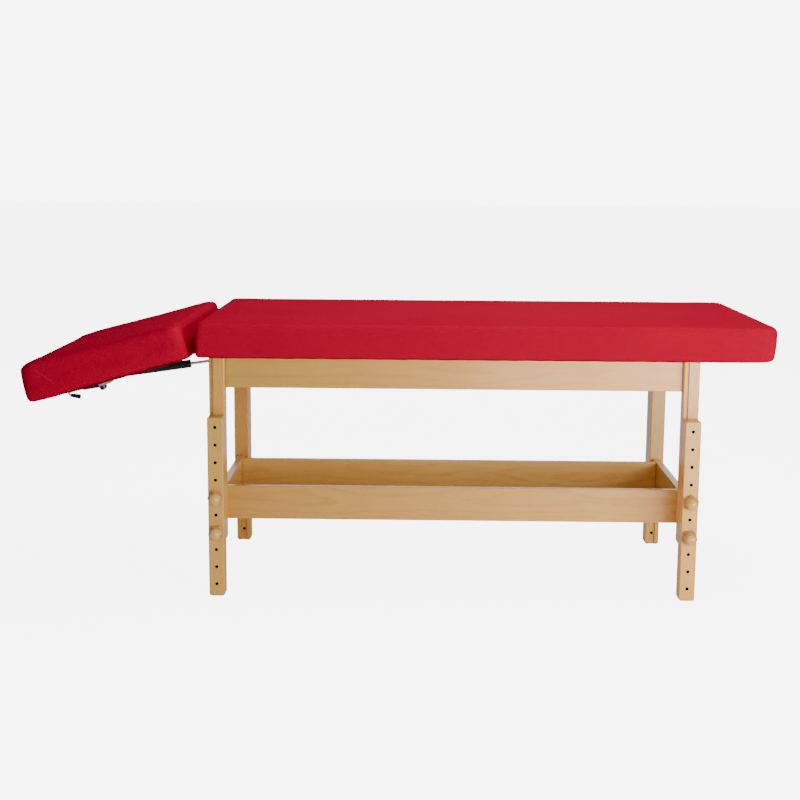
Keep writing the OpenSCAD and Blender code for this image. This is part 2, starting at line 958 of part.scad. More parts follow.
module piston() {
    color(black) place_spring()
        translate([0, 0, tube_l - rod_inside])
            difference() {
                cylinder(r = bore_r - running, h = piston_l);
                translate([0, 0, -over])
                    cylinder(r = rod_d / 2, h = piston_l + 2 * over);
            }
}

module rod_eye() {
    color(steel) place_spring()
        difference() {
            union() {
                translate([0, 0, spring_l])
                    rod_y([0, -eye_t / 2, 0], eye_r, eye_t);
                intersection() {
                    translate([0, 0, spring_l - eye_neck_l])
                        cylinder(r = eye_neck_r, h = eye_neck_l);
                    translate([0, 0, spring_l - eye_neck_l / 2])
                        cube([2 * eye_neck_r, eye_t, eye_neck_l], center = true);
                }
            }
            translate([0, 0, spring_l])
                rod_y([0, -eye_t, 0], rod_pin_r + rod_play, 2 * eye_t);
            translate([0, 0, spring_l - eye_neck_l - over])
                cylinder(r = rod_d / 2, h = rod_thread_l + over);
        }
}

module release_pin() {
    color(steel) place_spring() {
        translate([0, 0, -pin_back])
            cylinder(r = pin_r, h = pin_l);
        translate([0, 0, block_len - block_back + plug_l + turn_gap])
            cylinder(r = pin_collar_r, h = pin_collar_t);
    }
}

// Release lever: a bell crank with a plate, a bent bar and a grip
module release_lever() {
    sleeve = ear_gap - 2 * turn_gap;
    color(black) place_headrest()
        difference() {
            union() {
                on_head_plane(lever_t) {
                    translate(lever_bolt)
                        circle(hub_r);
                    translate([lever_bolt[0] - crank_w / 2, lever_bolt[1]])
                        square([crank_w, crank_top - lever_bolt[1]]);
                    polygon([[lever_bolt[0] + crank_w / 2, lever_bolt[1]],
                        [lever_bolt[0] + crank_w / 2, bar_z + plate_root_h / 2],
                        [plate_end, bar_z + plate_end_h / 2], [plate_end, bar_z - plate_end_h / 2]]);
                }
                rod_y([lever_bolt[0], -sleeve / 2, lever_bolt[1]], bolt_r + ear_t, sleeve);
            }
            rod_y([lever_bolt[0], -ear_gap, lever_bolt[1]], bolt_r + running, 2 * ear_gap);
            rod_x([plate_end - over, 0, bar_z], bar_d / 2, bar_socket + over);
        }
}

module lever_bar() {
    color(steel) place_headrest() {
        rod_x([plate_end - bar_l, 0, bar_z], bar_d / 2, bar_l + bar_socket);
        translate([plate_end - bar_l, 0, bar_z - bar_bend_r])
            rotate([90, 0, 0])
                rotate([0, 0, 90])
                    rotate_extrude(angle = bar_bend_angle)
                        translate([bar_bend_r, 0])
                            circle(bar_d / 2);
        place_grip()
            translate([0, 0, -bend_lap])
                cylinder(r = tang_r, h = bend_lap + grip_socket);
    }
}

// Frame of the grip: origin at the end of the bar's bend, +Z along the bar
module place_grip() {
    a = 90 + bar_bend_angle;
    translate([plate_end - bar_l + bar_bend_r * cos(a), 0, bar_z - bar_bend_r + bar_bend_r * sin(a)])
        rotate([0, -a, 0])
            children();
}

module lever_grip() {
    color(black) place_headrest()
        place_grip()
            difference() {
                intersection() {
                    cylinder(r1 = grip_d / 2 * grip_tip_share, r2 = grip_d / 2, h = grip_l);
                    translate([0, 0, grip_l / 2])
                        sphere(r = grip_end_r);
                }
                translate([0, 0, -over])
                    cylinder(r = tang_r, h = grip_socket + over);
            }
}

top_board();
main_pad();
long_apron(front);  // front_apron
long_apron(rear);  // rear_apron
cross_apron(head);  // head_apron
cross_apron(foot);  // foot_apron
at_corner(head, front) upper_leg();  // upper_leg_front_head
at_corner(foot, front) upper_leg();  // upper_leg_front_foot
at_corner(head, rear) upper_leg();  // upper_leg_rear_head
at_corner(foot, rear) upper_leg();  // upper_leg_rear_foot
at_corner(head, front) lower_leg();  // lower_leg_front_head
at_corner(foot, front) lower_leg();  // lower_leg_front_foot
at_corner(head, rear) lower_leg();  // lower_leg_rear_head
at_corner(foot, rear) lower_leg();  // lower_leg_rear_foot
tray_long_board(front);  // tray_front_board
tray_long_board(rear);  // tray_rear_board
tray_end_board(head);  // tray_head_board
tray_end_board(foot);  // tray_foot_board
tray_panel();
corner_blocks();
dowels();
frame_screws();
leg_studs();
knob(head, front, high);  // knob_front_head_high
knob(head, front, low);  // knob_front_head_low
knob(foot, front, high);  // knob_front_foot_high
knob(foot, front, low);  // knob_front_foot_low
knob(head, rear, high);  // knob_rear_head_high
knob(head, rear, low);  // knob_rear_head_low
knob(foot, rear, high);  // knob_rear_foot_high
knob(foot, rear, low);  // knob_rear_foot_low
insert(head, front, high);  // insert_front_head_high
insert(head, front, low);  // insert_front_head_low
insert(foot, front, high);  // insert_front_foot_high
insert(foot, front, low);  // insert_front_foot_low
insert(head, rear, high);  // insert_rear_head_high
insert(head, rear, low);  // insert_rear_head_low
insert(foot, rear, high);  // insert_rear_foot_high
insert(foot, rear, low);  // insert_rear_foot_low
table_hinge_leaves();
hinge_pins();
rod_bracket();
rod_pin();
headrest_board();
headrest_pad();
headrest_hinge_leaves();
headrest_screws();
tube_bracket();
lever_bolt();
spring_tube();
tube_end_block();
rod_guide();
piston_rod();
piston();
rod_eye();
release_pin();
release_lever();
lever_bar();
lever_grip();
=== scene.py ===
"""Massage table: the looks of every piece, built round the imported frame.

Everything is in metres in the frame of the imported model: +X runs from the headrest to the foot end,
-Y is the side that the camera sees, +Z is up and the floor is z = 0.
"""

import json
import math

import bmesh
import bpy
import numpy as np
from mathutils import Matrix, Vector
from mathutils.bvhtree import BVHTree


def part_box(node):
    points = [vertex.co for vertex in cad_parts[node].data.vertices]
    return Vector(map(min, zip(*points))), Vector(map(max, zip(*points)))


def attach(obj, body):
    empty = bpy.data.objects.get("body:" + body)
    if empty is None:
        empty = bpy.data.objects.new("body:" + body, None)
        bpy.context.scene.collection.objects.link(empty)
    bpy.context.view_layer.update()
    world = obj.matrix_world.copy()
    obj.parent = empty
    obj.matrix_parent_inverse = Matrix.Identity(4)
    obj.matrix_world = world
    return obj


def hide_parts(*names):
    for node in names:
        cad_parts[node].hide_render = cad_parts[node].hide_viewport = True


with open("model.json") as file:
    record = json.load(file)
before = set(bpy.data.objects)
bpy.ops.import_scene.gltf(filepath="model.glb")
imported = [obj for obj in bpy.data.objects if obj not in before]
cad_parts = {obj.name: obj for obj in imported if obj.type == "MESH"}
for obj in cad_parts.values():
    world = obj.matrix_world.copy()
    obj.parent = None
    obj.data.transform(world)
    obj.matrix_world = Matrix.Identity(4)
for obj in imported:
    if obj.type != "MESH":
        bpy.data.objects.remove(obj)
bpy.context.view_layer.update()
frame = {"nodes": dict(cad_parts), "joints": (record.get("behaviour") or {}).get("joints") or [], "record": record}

bl_info = {
    "name": "Massage table",
    "version": (1, 0, 0),
    "blender": (4, 5, 0),
    "location": "View3D > Sidebar > Massage table",
    "description": "Pads, woodwork, knobs, gas spring and fittings of a massage table, with its stage",
    "category": "Object",
}

TINY = 1e-9
CLOTH_STEPS = 20

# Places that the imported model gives
JOINTS = {joint["name"]: joint for joint in frame["joints"]}
HINGE = np.array(JOINTS["headrest_tilt"]["pos_m"])
MAIN_LOW, MAIN_HIGH = (np.array(corner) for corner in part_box("main_pad"))
LEG_LOW, LEG_HIGH = (np.array(corner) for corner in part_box("lower_leg_front_head"))
LEG_FAR = np.array(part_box("lower_leg_front_foot"))
TOP_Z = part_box("top_board")[0][2]
LEG_MID_X = (LEG_LOW[0] + LEG_FAR[1][0]) / 2
LEG_RUN = LEG_MID_X - (LEG_LOW[0] + LEG_HIGH[0]) / 2

CORNERS = [(side, end) for side in ("front", "rear") for end in ("head", "foot")]
SIDE_SIGN = {"front": -1, "rear": 1}
END_SIGN = {"head": -1, "foot": 1}


# Sizes and colours


class PadSizes(bpy.types.PropertyGroup):
    """Sizes and colour of the two padded tops"""
    colour: bpy.props.FloatVectorProperty(
        name="Cover colour", description="Colour of the coated cover", subtype="COLOR", size=3,
        min=0, max=1, default=(0.402, 0.0030, 0.0245))
    thickness: bpy.props.FloatProperty(
        name="Thickness", description="Height of a pad from its hem to the foot of its crown",
        unit="LENGTH", default=float(MAIN_HIGH[2] - MAIN_LOW[2]), min=0.05, max=0.15)
    crown: bpy.props.FloatProperty(
        name="Crown", description="Rise of the top from its edge to its middle", unit="LENGTH",
        default=0.002, min=0, max=0.02)
    edge_radius: bpy.props.FloatProperty(
        name="Edge radius", description="Radius of the top edge", unit="LENGTH",
        default=0.013, min=0.005, max=0.04)
    hem_radius: bpy.props.FloatProperty(
        name="Hem radius", description="Radius of the bottom edge", unit="LENGTH",
        default=0.013, min=0.004, max=0.03)
    draw: bpy.props.FloatProperty(
        name="Drawn-in sides", description="How far the sides are drawn in at the hem", unit="LENGTH",
        default=0.006, min=0, max=0.02)
    head_length: bpy.props.FloatProperty(
        name="Headrest length", description="Length of the headrest pad", unit="LENGTH",
        default=0.418, min=0.3, max=0.5)
    head_tilt: bpy.props.FloatProperty(
        name="Headrest tilt", description="Tilt of the headrest below level", subtype="ANGLE",
        default=math.radians(16.2), min=0, max=0.6)
    gap: bpy.props.FloatProperty(
        name="Gap", description="Gap between the two pads when the headrest is level", unit="LENGTH",
        default=0.014, min=0.01, max=0.03)
    leaf: bpy.props.FloatProperty(
        name="Hinge leaf", description="Thickness of a hinge leaf under the boards", unit="LENGTH",
        default=0.002, min=0.001, max=0.004)
    staple_step: bpy.props.FloatProperty(
        name="Staple step", description="Distance between the staples under a pad", unit="LENGTH",
        default=0.034, min=0.01, max=0.1)


class WoodSizes(bpy.types.PropertyGroup):
    """Colours and figure of the varnished wood"""
    light: bpy.props.FloatVectorProperty(
        name="Early wood", description="Colour between the growth rings", subtype="COLOR", size=3,
        min=0, max=1, default=(0.80, 0.450, 0.085))
    dark: bpy.props.FloatVectorProperty(
        name="Late wood", description="Colour of the growth rings", subtype="COLOR", size=3,
        min=0, max=1, default=(0.64, 0.305, 0.048))
    ring: bpy.props.FloatProperty(
        name="Ring spacing", description="Distance between two growth rings", unit="LENGTH",
        default=0.0042, min=0.001, max=0.02)
    varnish: bpy.props.FloatProperty(
        name="Varnish", description="Strength of the clear coat", subtype="FACTOR",
        default=0.45, min=0, max=1)


class KnobSizes(bpy.types.PropertyGroup):
    """Sizes of the turned wooden knobs"""
    foot: bpy.props.FloatProperty(
        name="Foot radius", description="Radius of the five-lobed foot at its lobes", unit="LENGTH",
        default=0.0205, min=0.015, max=0.025)
    lobe: bpy.props.FloatProperty(
        name="Lobe depth", description="How far the foot is drawn in between its lobes", unit="LENGTH",
        default=0.0034, min=0, max=0.006)
    head: bpy.props.FloatProperty(
        name="Head radius", description="Radius of the domed head", unit="LENGTH",
        default=0.0155, min=0.01, max=0.02)
    height: bpy.props.FloatProperty(
        name="Height", description="Height of the whole knob", unit="LENGTH",
        default=0.038, min=0.03, max=0.05)


class StageSizes(bpy.types.PropertyGroup):
    """Floor, lights and camera"""
    floor: bpy.props.FloatVectorProperty(
        name="Floor colour", description="Colour of the plain floor", subtype="COLOR", size=3,
        min=0, max=1, default=(0.90, 0.90, 0.90))
    glow: bpy.props.FloatProperty(
        name="Paleness", description="How much brighter the floor and backdrop look to the camera",
        default=6.0, min=0)
    key: bpy.props.FloatProperty(
        name="Key light", description="Power of the large soft light at the front right",
        subtype="POWER", default=61.0, min=0)
    strip: bpy.props.FloatProperty(
        name="Strip light", description="Power of the low strip that the varnish mirrors",
        subtype="POWER", default=14.0, min=0)
    fill: bpy.props.FloatProperty(
        name="Fill light", description="Power of the soft light at the front left",
        subtype="POWER", default=23.0, min=0)
    top: bpy.props.FloatProperty(
        name="Top light", description="Power of the soft light above",
        subtype="POWER", default=40.0, min=0)
    back: bpy.props.FloatProperty(
        name="Back light", description="Power of the wide soft light behind the table",
        subtype="POWER", default=30.0, min=0)
    room: bpy.props.FloatProperty(
        name="Room light", description="Strength of the even light from all round", default=0.21, min=0)


def sizes(name):
    """The property group of that name on the scene."""
    return getattr(bpy.context.scene, "massage_table_" + name)


# Meshes from grids


def grid_quads(rows, columns, wrap):
    """Quads of a grid whose points are stored row by row. The last column joins the first if wrap is
    set. Point (r, c) has index r * columns + c."""
    span = columns if wrap else columns - 1
    r, c = np.meshgrid(np.arange(rows - 1), np.arange(span), indexing="ij")
    a = (r * columns + c).ravel()
    b = (r * columns + (c + 1) % columns).ravel()
    return np.stack([a, b, b + columns, a + columns], axis=1)


def mesh_object(name, points, faces):
    """A smooth mesh object at the origin from an (n, 3) array and a list of index rows."""
    mesh = bpy.data.meshes.new(name)
    mesh.from_pydata(np.asarray(points, float).tolist(), [], [list(map(int, face)) for face in faces])
    mesh.update()
    mesh.polygons.foreach_set("use_smooth", np.ones(len(mesh.polygons), bool))
    thing = bpy.data.objects.new(name, mesh)
    bpy.context.scene.collection.objects.link(thing)
    return thing


def dress(thing, material, body, nodes=()):
    """Gives a finished piece its material, its body and the CAD nodes it stands for."""
    thing.data.materials.clear()
    thing.data.materials.append(material)
    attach(thing, body)
    if nodes:
        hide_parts(*nodes)


def points_of(thing):
    """The vertices of a mesh object as an (n, 3) array."""
    flat = np.empty(3 * len(thing.data.vertices))
    thing.data.vertices.foreach_get("co", flat)
    return flat.reshape(-1, 3)


def set_points(thing, points):
    """Writes an (n, 3) array into the vertices of a mesh object."""
    thing.data.vertices.foreach_set("co", np.ascontiguousarray(points, float).ravel())
    thing.data.update()


def bake_modifiers(thing):
    """Applies all modifiers of an object to its mesh."""
    graph = bpy.context.evaluated_depsgraph_get()
    mesh = bpy.data.meshes.new_from_object(thing.evaluated_get(graph))
    thing.modifiers.clear()
    old = thing.data
    thing.data = mesh
    bpy.data.meshes.remove(old)
    thing.data.polygons.foreach_set("use_smooth", np.ones(len(mesh.polygons), bool))


def smooth_step(low, high, value):
    """0 below low, 1 above high, and a cubic ease between them."""
    t = np.clip((value - low) / (high - low), 0, 1)
    return t * t * (3 - 2 * t)


def tube_along(path, radii, sides, lift):
    """Points and faces of a closed tube round an (n, 3) path, with a radius for each of its points.
    Each ring is a circle in the plane of two axes square to the path's direction: one is also square to
    lift, and the other to the first. A flat cap closes each end."""
    ahead = np.gradient(path, axis=0)
    ahead /= np.linalg.norm(ahead, axis=1)[:, None]
    across = np.cross(ahead, lift)
    across /= np.linalg.norm(across, axis=1)[:, None]
    up = np.cross(across, ahead)
    turn = np.linspace(0, 2 * np.pi, sides, endpoint=False)
    spoke = np.cos(turn)[None, :, None] * across[:, None] + np.sin(turn)[None, :, None] * up[:, None]
    rings = path[:, None] + radii[:, None, None] * spoke
    quads = grid_quads(len(path), sides, True).tolist()
    caps = [list(range(sides)), list(range((len(path) - 1) * sides, len(path) * sides))[::-1]]
    return rings.reshape(-1, 3), [q[::-1] for q in quads] + [c[::-1] for c in caps]


# Materials


class Graph:
    """Adds and joins the nodes of one tree. A value is a number, a colour or another node's output."""

    def __init__(self, tree):
        self.tree = tree

    def node(self, kind, **settings):
        node = self.tree.nodes.new("ShaderNode" + kind)
        for name, value in settings.items():
            setattr(node, name, value)
        return node

    def put(self, socket, value):
        if isinstance(value, bpy.types.NodeSocket):
            self.tree.links.new(value, socket)
        elif value is not None:
            socket.default_value = value

    def math(self, operation, a, b=None):
        node = self.node("Math", operation=operation)
        self.put(node.inputs[0], a)
        self.put(node.inputs[1], b)
        return node.outputs[0]

    def vector(self, operation, a, b=None):
        node = self.node("VectorMath", operation=operation)
        self.put(node.inputs[0], a)
        self.put(node.inputs[1], b)
        return node.outputs["Value" if operation in ("LENGTH", "DISTANCE") else "Vector"]

    def ease(self, value, low, high, start=0.0, end=1.0):
        node = self.node("MapRange", interpolation_type="SMOOTHSTEP")
        for socket, number in zip(node.inputs, (value, low, high, start, end)):
            self.put(socket, number)
        return node.outputs[0]

    def noise(self, vector, scale, detail=2.0, rough=0.5):
        node = self.node("TexNoise")
        for name, value in (("Vector", vector), ("Scale", scale), ("Detail", detail),
                            ("Roughness", rough)):
            self.put(node.inputs[name], value)
        return node.outputs[0]

    def mix(self, factor, a, b, blend="MIX"):
        node = self.node("Mix", data_type="RGBA", blend_type=blend)
        for socket, value in ((node.inputs[0], factor), (node.inputs[6], a), (node.inputs[7], b)):
            self.put(socket, value)
        return node.outputs[2]

    def parts(self, vector):
        node = self.node("SeparateXYZ")
        self.put(node.inputs[0], vector)
        return node.outputs

    def join(self, x, y, z):
        node = self.node("CombineXYZ")
        for socket, value in zip(node.inputs, (x, y, z)):
            self.put(socket, value)
        return node.outputs[0]

    def place(self, group, **values):
        node = self.node("Group", node_tree=group)
        for name, value in values.items():
            self.put(node.inputs[name], value)
        return node.outputs


def new_group(name, inputs, outputs):
    """An empty shader node group with those sockets, its graph, the sockets that its inputs arrive at
    and the sockets that its outputs leave by. inputs maps a name to a default number, or to None for a
    vector."""
    tree = bpy.data.node_groups.new(name, "ShaderNodeTree")
    for title, default in inputs.items():
        kind = "NodeSocketVector" if default is None else "NodeSocketFloat"
        socket = tree.interface.new_socket(name=title, in_out="INPUT", socket_type=kind)
        if default is not None:
            socket.default_value = default
    for title in outputs:
        tree.interface.new_socket(name=title, in_out="OUTPUT", socket_type="NodeSocketFloat")
    graph = Graph(tree)
    source = graph.tree.nodes.new("NodeGroupInput").outputs
    sink = graph.tree.nodes.new("NodeGroupOutput").inputs
    return tree, graph, source, sink


def wood_figure():
    """Growth rings, fibres, flecks, clouds and a slow tone of a board whose grain runs along Z. Rings
    are the distance from a wandering axis, cut into even steps; the others are noise drawn out along
    the grain."""
    tree, g, source, sink = new_group("wood_figure", {"Vector": None, "Ring": 0.004, "Wander": 0.045},
                                      ("Rings", "Fibre", "Flecks", "Tone", "Clouds"))
    wander_rates, other_place, ragged_share = (5.0, 5.0, 2.4), (7.3, 2.1, 4.9), 0.7
    late_from, late_to, fleck_from, fleck_to = 0.55, 0.93, 0.66, 0.76

    def drawn(across, along, detail, rough=0.5):
        """Noise that repeats across times a metre across the grain and along times along it."""
        drawn_out = g.vector("MULTIPLY", source["Vector"], (across, across, along))
        return g.noise(drawn_out, 1.0, detail, rough)

    slow = g.vector("MULTIPLY", source["Vector"], wander_rates)
    bend_x = g.math("SUBTRACT", g.noise(slow, 1.0, 1.5), 0.5)
    bend_y = g.math("SUBTRACT", g.noise(g.vector("ADD", slow, other_place), 1.0, 1.5), 0.5)
    shift = g.join(g.math("MULTIPLY", bend_x, source["Wander"]),
                   g.math("MULTIPLY", bend_y, source["Wander"]), 0.0)
    across = g.vector("MULTIPLY", g.vector("ADD", source["Vector"], shift), (1.0, 1.0, 0.0))
    radius = g.vector("LENGTH", across)
    ragged = g.math("MULTIPLY", drawn(150.0, 16.0, 2.0), ragged_share)
    saw = g.math("FRACT", g.math("ADD", g.math("DIVIDE", radius, source["Ring"]), ragged))
    g.put(sink["Rings"], g.math("MULTIPLY", g.ease(saw, late_from, late_to),
                                g.ease(saw, late_to, 1.0, 1.0, 0.0)))
    g.put(sink["Fibre"], drawn(900.0, 14.0, 3.0, 0.6))
    g.put(sink["Flecks"], g.ease(drawn(620.0, 75.0, 1.0), fleck_from, fleck_to))
    g.put(sink["Tone"], drawn(9.0, 1.6, 2.0))
    g.put(sink["Clouds"], drawn(42.0, 13.0, 2.5, 0.55))
    return tree


def cover_grain():
    """Fine pebble grain of a coated cover: rounded cells a little over a millimetre wide, pressed in by
    a finer noise, and a slow tone."""
    tree, g, source, sink = new_group("cover_grain", {"Vector": None, "Cell": 0.0013},
                                      ("Height", "Creases", "Tone"))
    groove, fine_scale, fine_share, tone_scale = 0.30, 2600.0, 0.35, 4.5
    cells = g.node("TexVoronoi", feature="DISTANCE_TO_EDGE")
    g.put(cells.inputs["Vector"], source["Vector"])
    g.put(cells.inputs["Scale"], g.math("DIVIDE", 1.0, source["Cell"]))
    pebble = g.ease(cells.outputs["Distance"], 0.0, groove)
    fine = g.noise(source["Vector"], fine_scale, 2.0)
    g.put(sink["Height"], g.math("ADD", pebble, g.math("MULTIPLY", fine, fine_share)))
    g.put(sink["Creases"], g.math("SUBTRACT", 1.0, pebble))
    g.put(sink["Tone"], g.noise(source["Vector"], tone_scale, 3.0))
    return tree


def metal_grain():
    """Streaks of drawn or plated metal along Z, and a slow tarnish."""
    tree, g, source, sink = new_group("metal_grain", {"Vector": None, "Fine": 900.0},
                                      ("Streaks", "Tarnish"))
    drawn_out, tarnish_scale = (1.0, 1.0, 0.03), 38.0
    drawn = g.vector("MULTIPLY", source["Vector"], drawn_out)
    g.put(sink["Streaks"], g.noise(drawn, source["Fine"], 3.0, 0.6))
    g.put(sink["Tarnish"], g.noise(source["Vector"], tarnish_scale, 3.0))
    return tree


def new_material(name, **constants):
    """A material with a Principled shader whose given sockets are set, its graph, its shader and the
    object coordinates."""
    material = bpy.data.materials.new(name + "_finish")
    material.use_nodes = True
    tree = material.node_tree
    graph = Graph(tree)
    shader = tree.nodes["Principled BSDF"]
    for title, value in constants.items():
        shader.inputs[title.replace("_", " ")].default_value = value
    where = graph.node("TexCoord").outputs["Object"]
    return material, graph, shader, where


def finish(name):
    """The finish of that name that new_material has made."""
    return bpy.data.materials[name + "_finish"]


def add_bump(graph, shader, height, strength, distance):
    """Feeds a height through a Bump node into the shader's normal."""
    bump = graph.node("Bump")
    bump.inputs["Strength"].default_value = strength
    bump.inputs["Distance"].default_value = distance
    graph.put(bump.inputs["Height"], height)
    graph.put(shader.inputs["Normal"], bump.outputs["Normal"])


GRAIN_TURNS = {"x": "zyx", "y": "xzy", "z": "xyz"}
# Where the dark line at each end of a long board begins and where it is full: painted shadow where the board meets
# the parts beside it
SHADOW_LINE, SHADOW_SHARP = 0.0028, 0.0012
HOLE_PITCH, HOLE_BOTTOM, HOLE_RADIUS = 0.045, 0.033, 0.00422


def wood_material(name, grain, axis, ring=None, gloss=0.30, holes=False, darker=None, tone=(1, 1, 1),
                  seam=None):
    """Varnished wood whose grain runs along x, y or z. axis is the place of the log's heart in the two
    directions across the grain, and a start along it. holes gives the height holes a pale rim and a
    dark inside, painted shade that deepens into each hole. An attribute, when one is named, darkens it
    with painted shade. tone is how much of each colour this board has beside the others, or two such,
    for its head and its foot end; the tones of the legs and boards paint light and shade. seam is half
    the length of a board along X, whose ends show as dark lines: painted shadow where they meet the
    parts beside them."""
    props = sizes("wood")
    specular, ring_share, warm_share, cloud_share, fleck_share = 0.45, 0.55, 0.35, 0.55, 0.28
    # warm and clouded are tones of the wood itself; the third is the tint of painted shade
    warm, clouded, shade_tint = (0.95, 0.86, 0.72), (1.0, 0.90, 0.92), (0.52, 0.45, 0.40)
    # the second and third set the painted shadow at the board's ends
    fleck_tone, shadow_share, shadow_tone, gloss_spread = 0.5, 0.7, 0.35, 0.12
    # The holes' pale rim, and the painted shade inside them, which starts at the mouth and deepens with depth
    rim, rim_share, rim_tone, mouth, mouth_share, hole_shade = 0.0062, 0.55, 1.2, 0.00440, 0.55, 0.02
    dark_from, dark_full, figure_strength, figure_depth = 0.0005, 0.0035, 0.10, 0.0004
    material, g, shader, where = new_material(name, Coat_Weight=props.varnish, Coat_Roughness=0.16,
                                              Coat_IOR=1.5, Specular_IOR_Level=specular)
    part = g.parts(where)
    turned = g.join(*(part["XYZ".index(letter.upper())] for letter in GRAIN_TURNS[grain]))
    placed = g.vector("SUBTRACT", turned, axis)
    figure = g.place(bpy.data.node_groups["wood_figure"], Vector=placed, Ring=ring or props.ring)
    tones = np.atleast_2d(tone)
    most = tones.max(axis=0)
    light, dark = (np.array(colour) * most for colour in (props.light, props.dark))
    colour = g.mix(g.math("MULTIPLY", figure["Rings"], ring_share), paint(light), paint(dark))
    colour = g.mix(g.ease(figure["Tone"], 0.3, 0.7, 0.0, warm_share), colour, paint(light * warm))
    colour = g.mix(g.ease(figure["Clouds"], 0.36, 0.66, 0.0, cloud_share), colour,
                   paint(light * clouded))
    fibre = g.ease(figure["Fibre"], 0.25, 0.75, 0.92, 1.05)
    colour = g.mix(1.0, colour, g.join(fibre, fibre, fibre), "MULTIPLY")
    colour = g.mix(g.math("MULTIPLY", figure["Flecks"], fleck_share), colour,
                   paint(dark * fleck_tone))
    # painted light and shade: the colour fades from the head end's tone to the foot end's
    if len(tones) == 2:
        along = g.ease(part["X"], float(LEG_MID_X - LEG_RUN), float(LEG_MID_X + LEG_RUN))
        share = g.mix(along, paint(tones[0] / most), paint(tones[1] / most))
        colour = g.mix(1.0, colour, share, "MULTIPLY")
    # painted shadow: a dark line at both ends of the board, where it meets the parts beside it
    if seam:
        away = g.math("ABSOLUTE", g.math("SUBTRACT", part["X"], float(LEG_MID_X)))
        shadowed = g.ease(away, seam - SHADOW_LINE, seam - SHADOW_SHARP, 0.0, shadow_share)
        colour = g.mix(shadowed, colour, paint(dark * shadow_tone))
    # painted shade inside the height holes, darker with depth, without coat or gloss where it lies
    if holes:
        distance = hole_distance(g, part)
        colour = g.mix(g.ease(distance, HOLE_RADIUS, rim, rim_share, 0.0), colour,
                       paint(light * rim_tone))
        depth = g.math("SUBTRACT", float(-LEG_LOW[1]), g.math("ABSOLUTE", part["Y"]))
        inside = g.math("MULTIPLY", g.ease(distance, HOLE_RADIUS, mouth, 1.0, 0.0),
                        g.ease(depth, dark_from, dark_full, mouth_share, 1.0))
        colour = g.mix(inside, colour, paint(dark * hole_shade))
        unshaded = g.math("SUBTRACT", 1.0, inside)
        g.put(shader.inputs["Coat Weight"], g.math("MULTIPLY", unshaded, props.varnish))
        g.put(shader.inputs["Specular IOR Level"], g.math("MULTIPLY", unshaded, specular))
    # painted shade: the named attribute darkens the wood in the knobs' crevice and hollows
    if darker:
        shade = g.node("Attribute", attribute_name=darker).outputs["Fac"]
        colour = g.mix(shade, colour, paint(dark * shade_tint))
    g.put(shader.inputs["Base Color"], colour)
    g.put(shader.inputs["Roughness"], g.ease(figure["Fibre"], 0.2, 0.8, gloss, gloss + gloss_spread))
    add_bump(g, shader, g.math("ADD", figure["Fibre"], figure["Rings"]), figure_strength, figure_depth)
    return material


def paint(colour):
    """Three numbers as an opaque colour, none over 1."""
    return tuple(float(c) for c in np.minimum(colour, 1.0)) + (1.0,)


def hole_distance(g, part):
    """The distance from the nearest height hole's axis: the holes stand a pitch apart up each leg."""
    along = g.math("SUBTRACT", part["Z"], HOLE_BOTTOM - HOLE_PITCH / 2)
    up = g.math("SUBTRACT", g.math("MODULO", along, HOLE_PITCH), HOLE_PITCH / 2)
    across = g.math("SUBTRACT", g.math("ABSOLUTE", g.math("SUBTRACT", part["X"], float(LEG_MID_X))),
                    float(LEG_RUN))
    return g.vector("LENGTH", g.join(across, up, 0.0))


def cover_material(name, lighten=0.0):
    """Red coated cover: pebble grain with painted shade in its grooves, a slow tone and a soft gloss.
    lighten mixes in some pink, a painted highlight, as on the lip of a fold."""
    pink, crease_share, crease_tone, fresh_tone = (0.80, 0.16, 0.20), 0.18, 0.72, 1.06
    rough, rougher, grain_strength, grain_depth = 0.44, 0.50, 0.30, 0.00009
    # lighten paints a highlight: the colour is moved towards pink
    red = tuple(c + lighten * (p - c) for c, p in zip(sizes("pads").colour, pink))
    material, g, shader, where = new_material(name, Specular_IOR_Level=0.0, Coat_Weight=0.006,
                                              Coat_Roughness=0.26)
    grain = g.place(bpy.data.node_groups["cover_grain"], Vector=where)
    deep, fresh = (paint(np.array(red) * tone) for tone in (crease_tone, fresh_tone))
    toned = g.mix(g.ease(grain["Tone"], 0.3, 0.7), fresh, paint(red))
    # painted shade: the grooves between the pebbles are darker
    creased = g.math("MULTIPLY", grain["Creases"], crease_share)
    g.put(shader.inputs["Base Color"], g.mix(creased, toned, deep))
    g.put(shader.inputs["Roughness"], g.ease(grain["Tone"], 0.3, 0.7, rough, rougher))
    add_bump(g, shader, grain["Height"], grain_strength, grain_depth)
    return material


def metal_material(name, colour, rough, metallic=1.0, dull=0.25):
    """Metal with fine streaks and a slow tarnish that dulls its colour by that share."""
    fine, spread, streak_strength, streak_depth = 900.0, 0.14, 0.12, 0.0001
    material, g, shader, where = new_material(name, Metallic=metallic)
    grain = g.place(bpy.data.node_groups["metal_grain"], Vector=where, Fine=fine)
    bright, darker = (paint(np.array(colour) * share) for share in (1, 1 - dull))
    g.put(shader.inputs["Base Color"], g.mix(g.ease(grain["Tarnish"], 0.35, 0.7), bright, darker))
    g.put(shader.inputs["Roughness"], g.ease(grain["Streaks"], 0.2, 0.8, rough, rough + spread))
    add_bump(g, shader, grain["Streaks"], streak_strength, streak_depth)
    return material


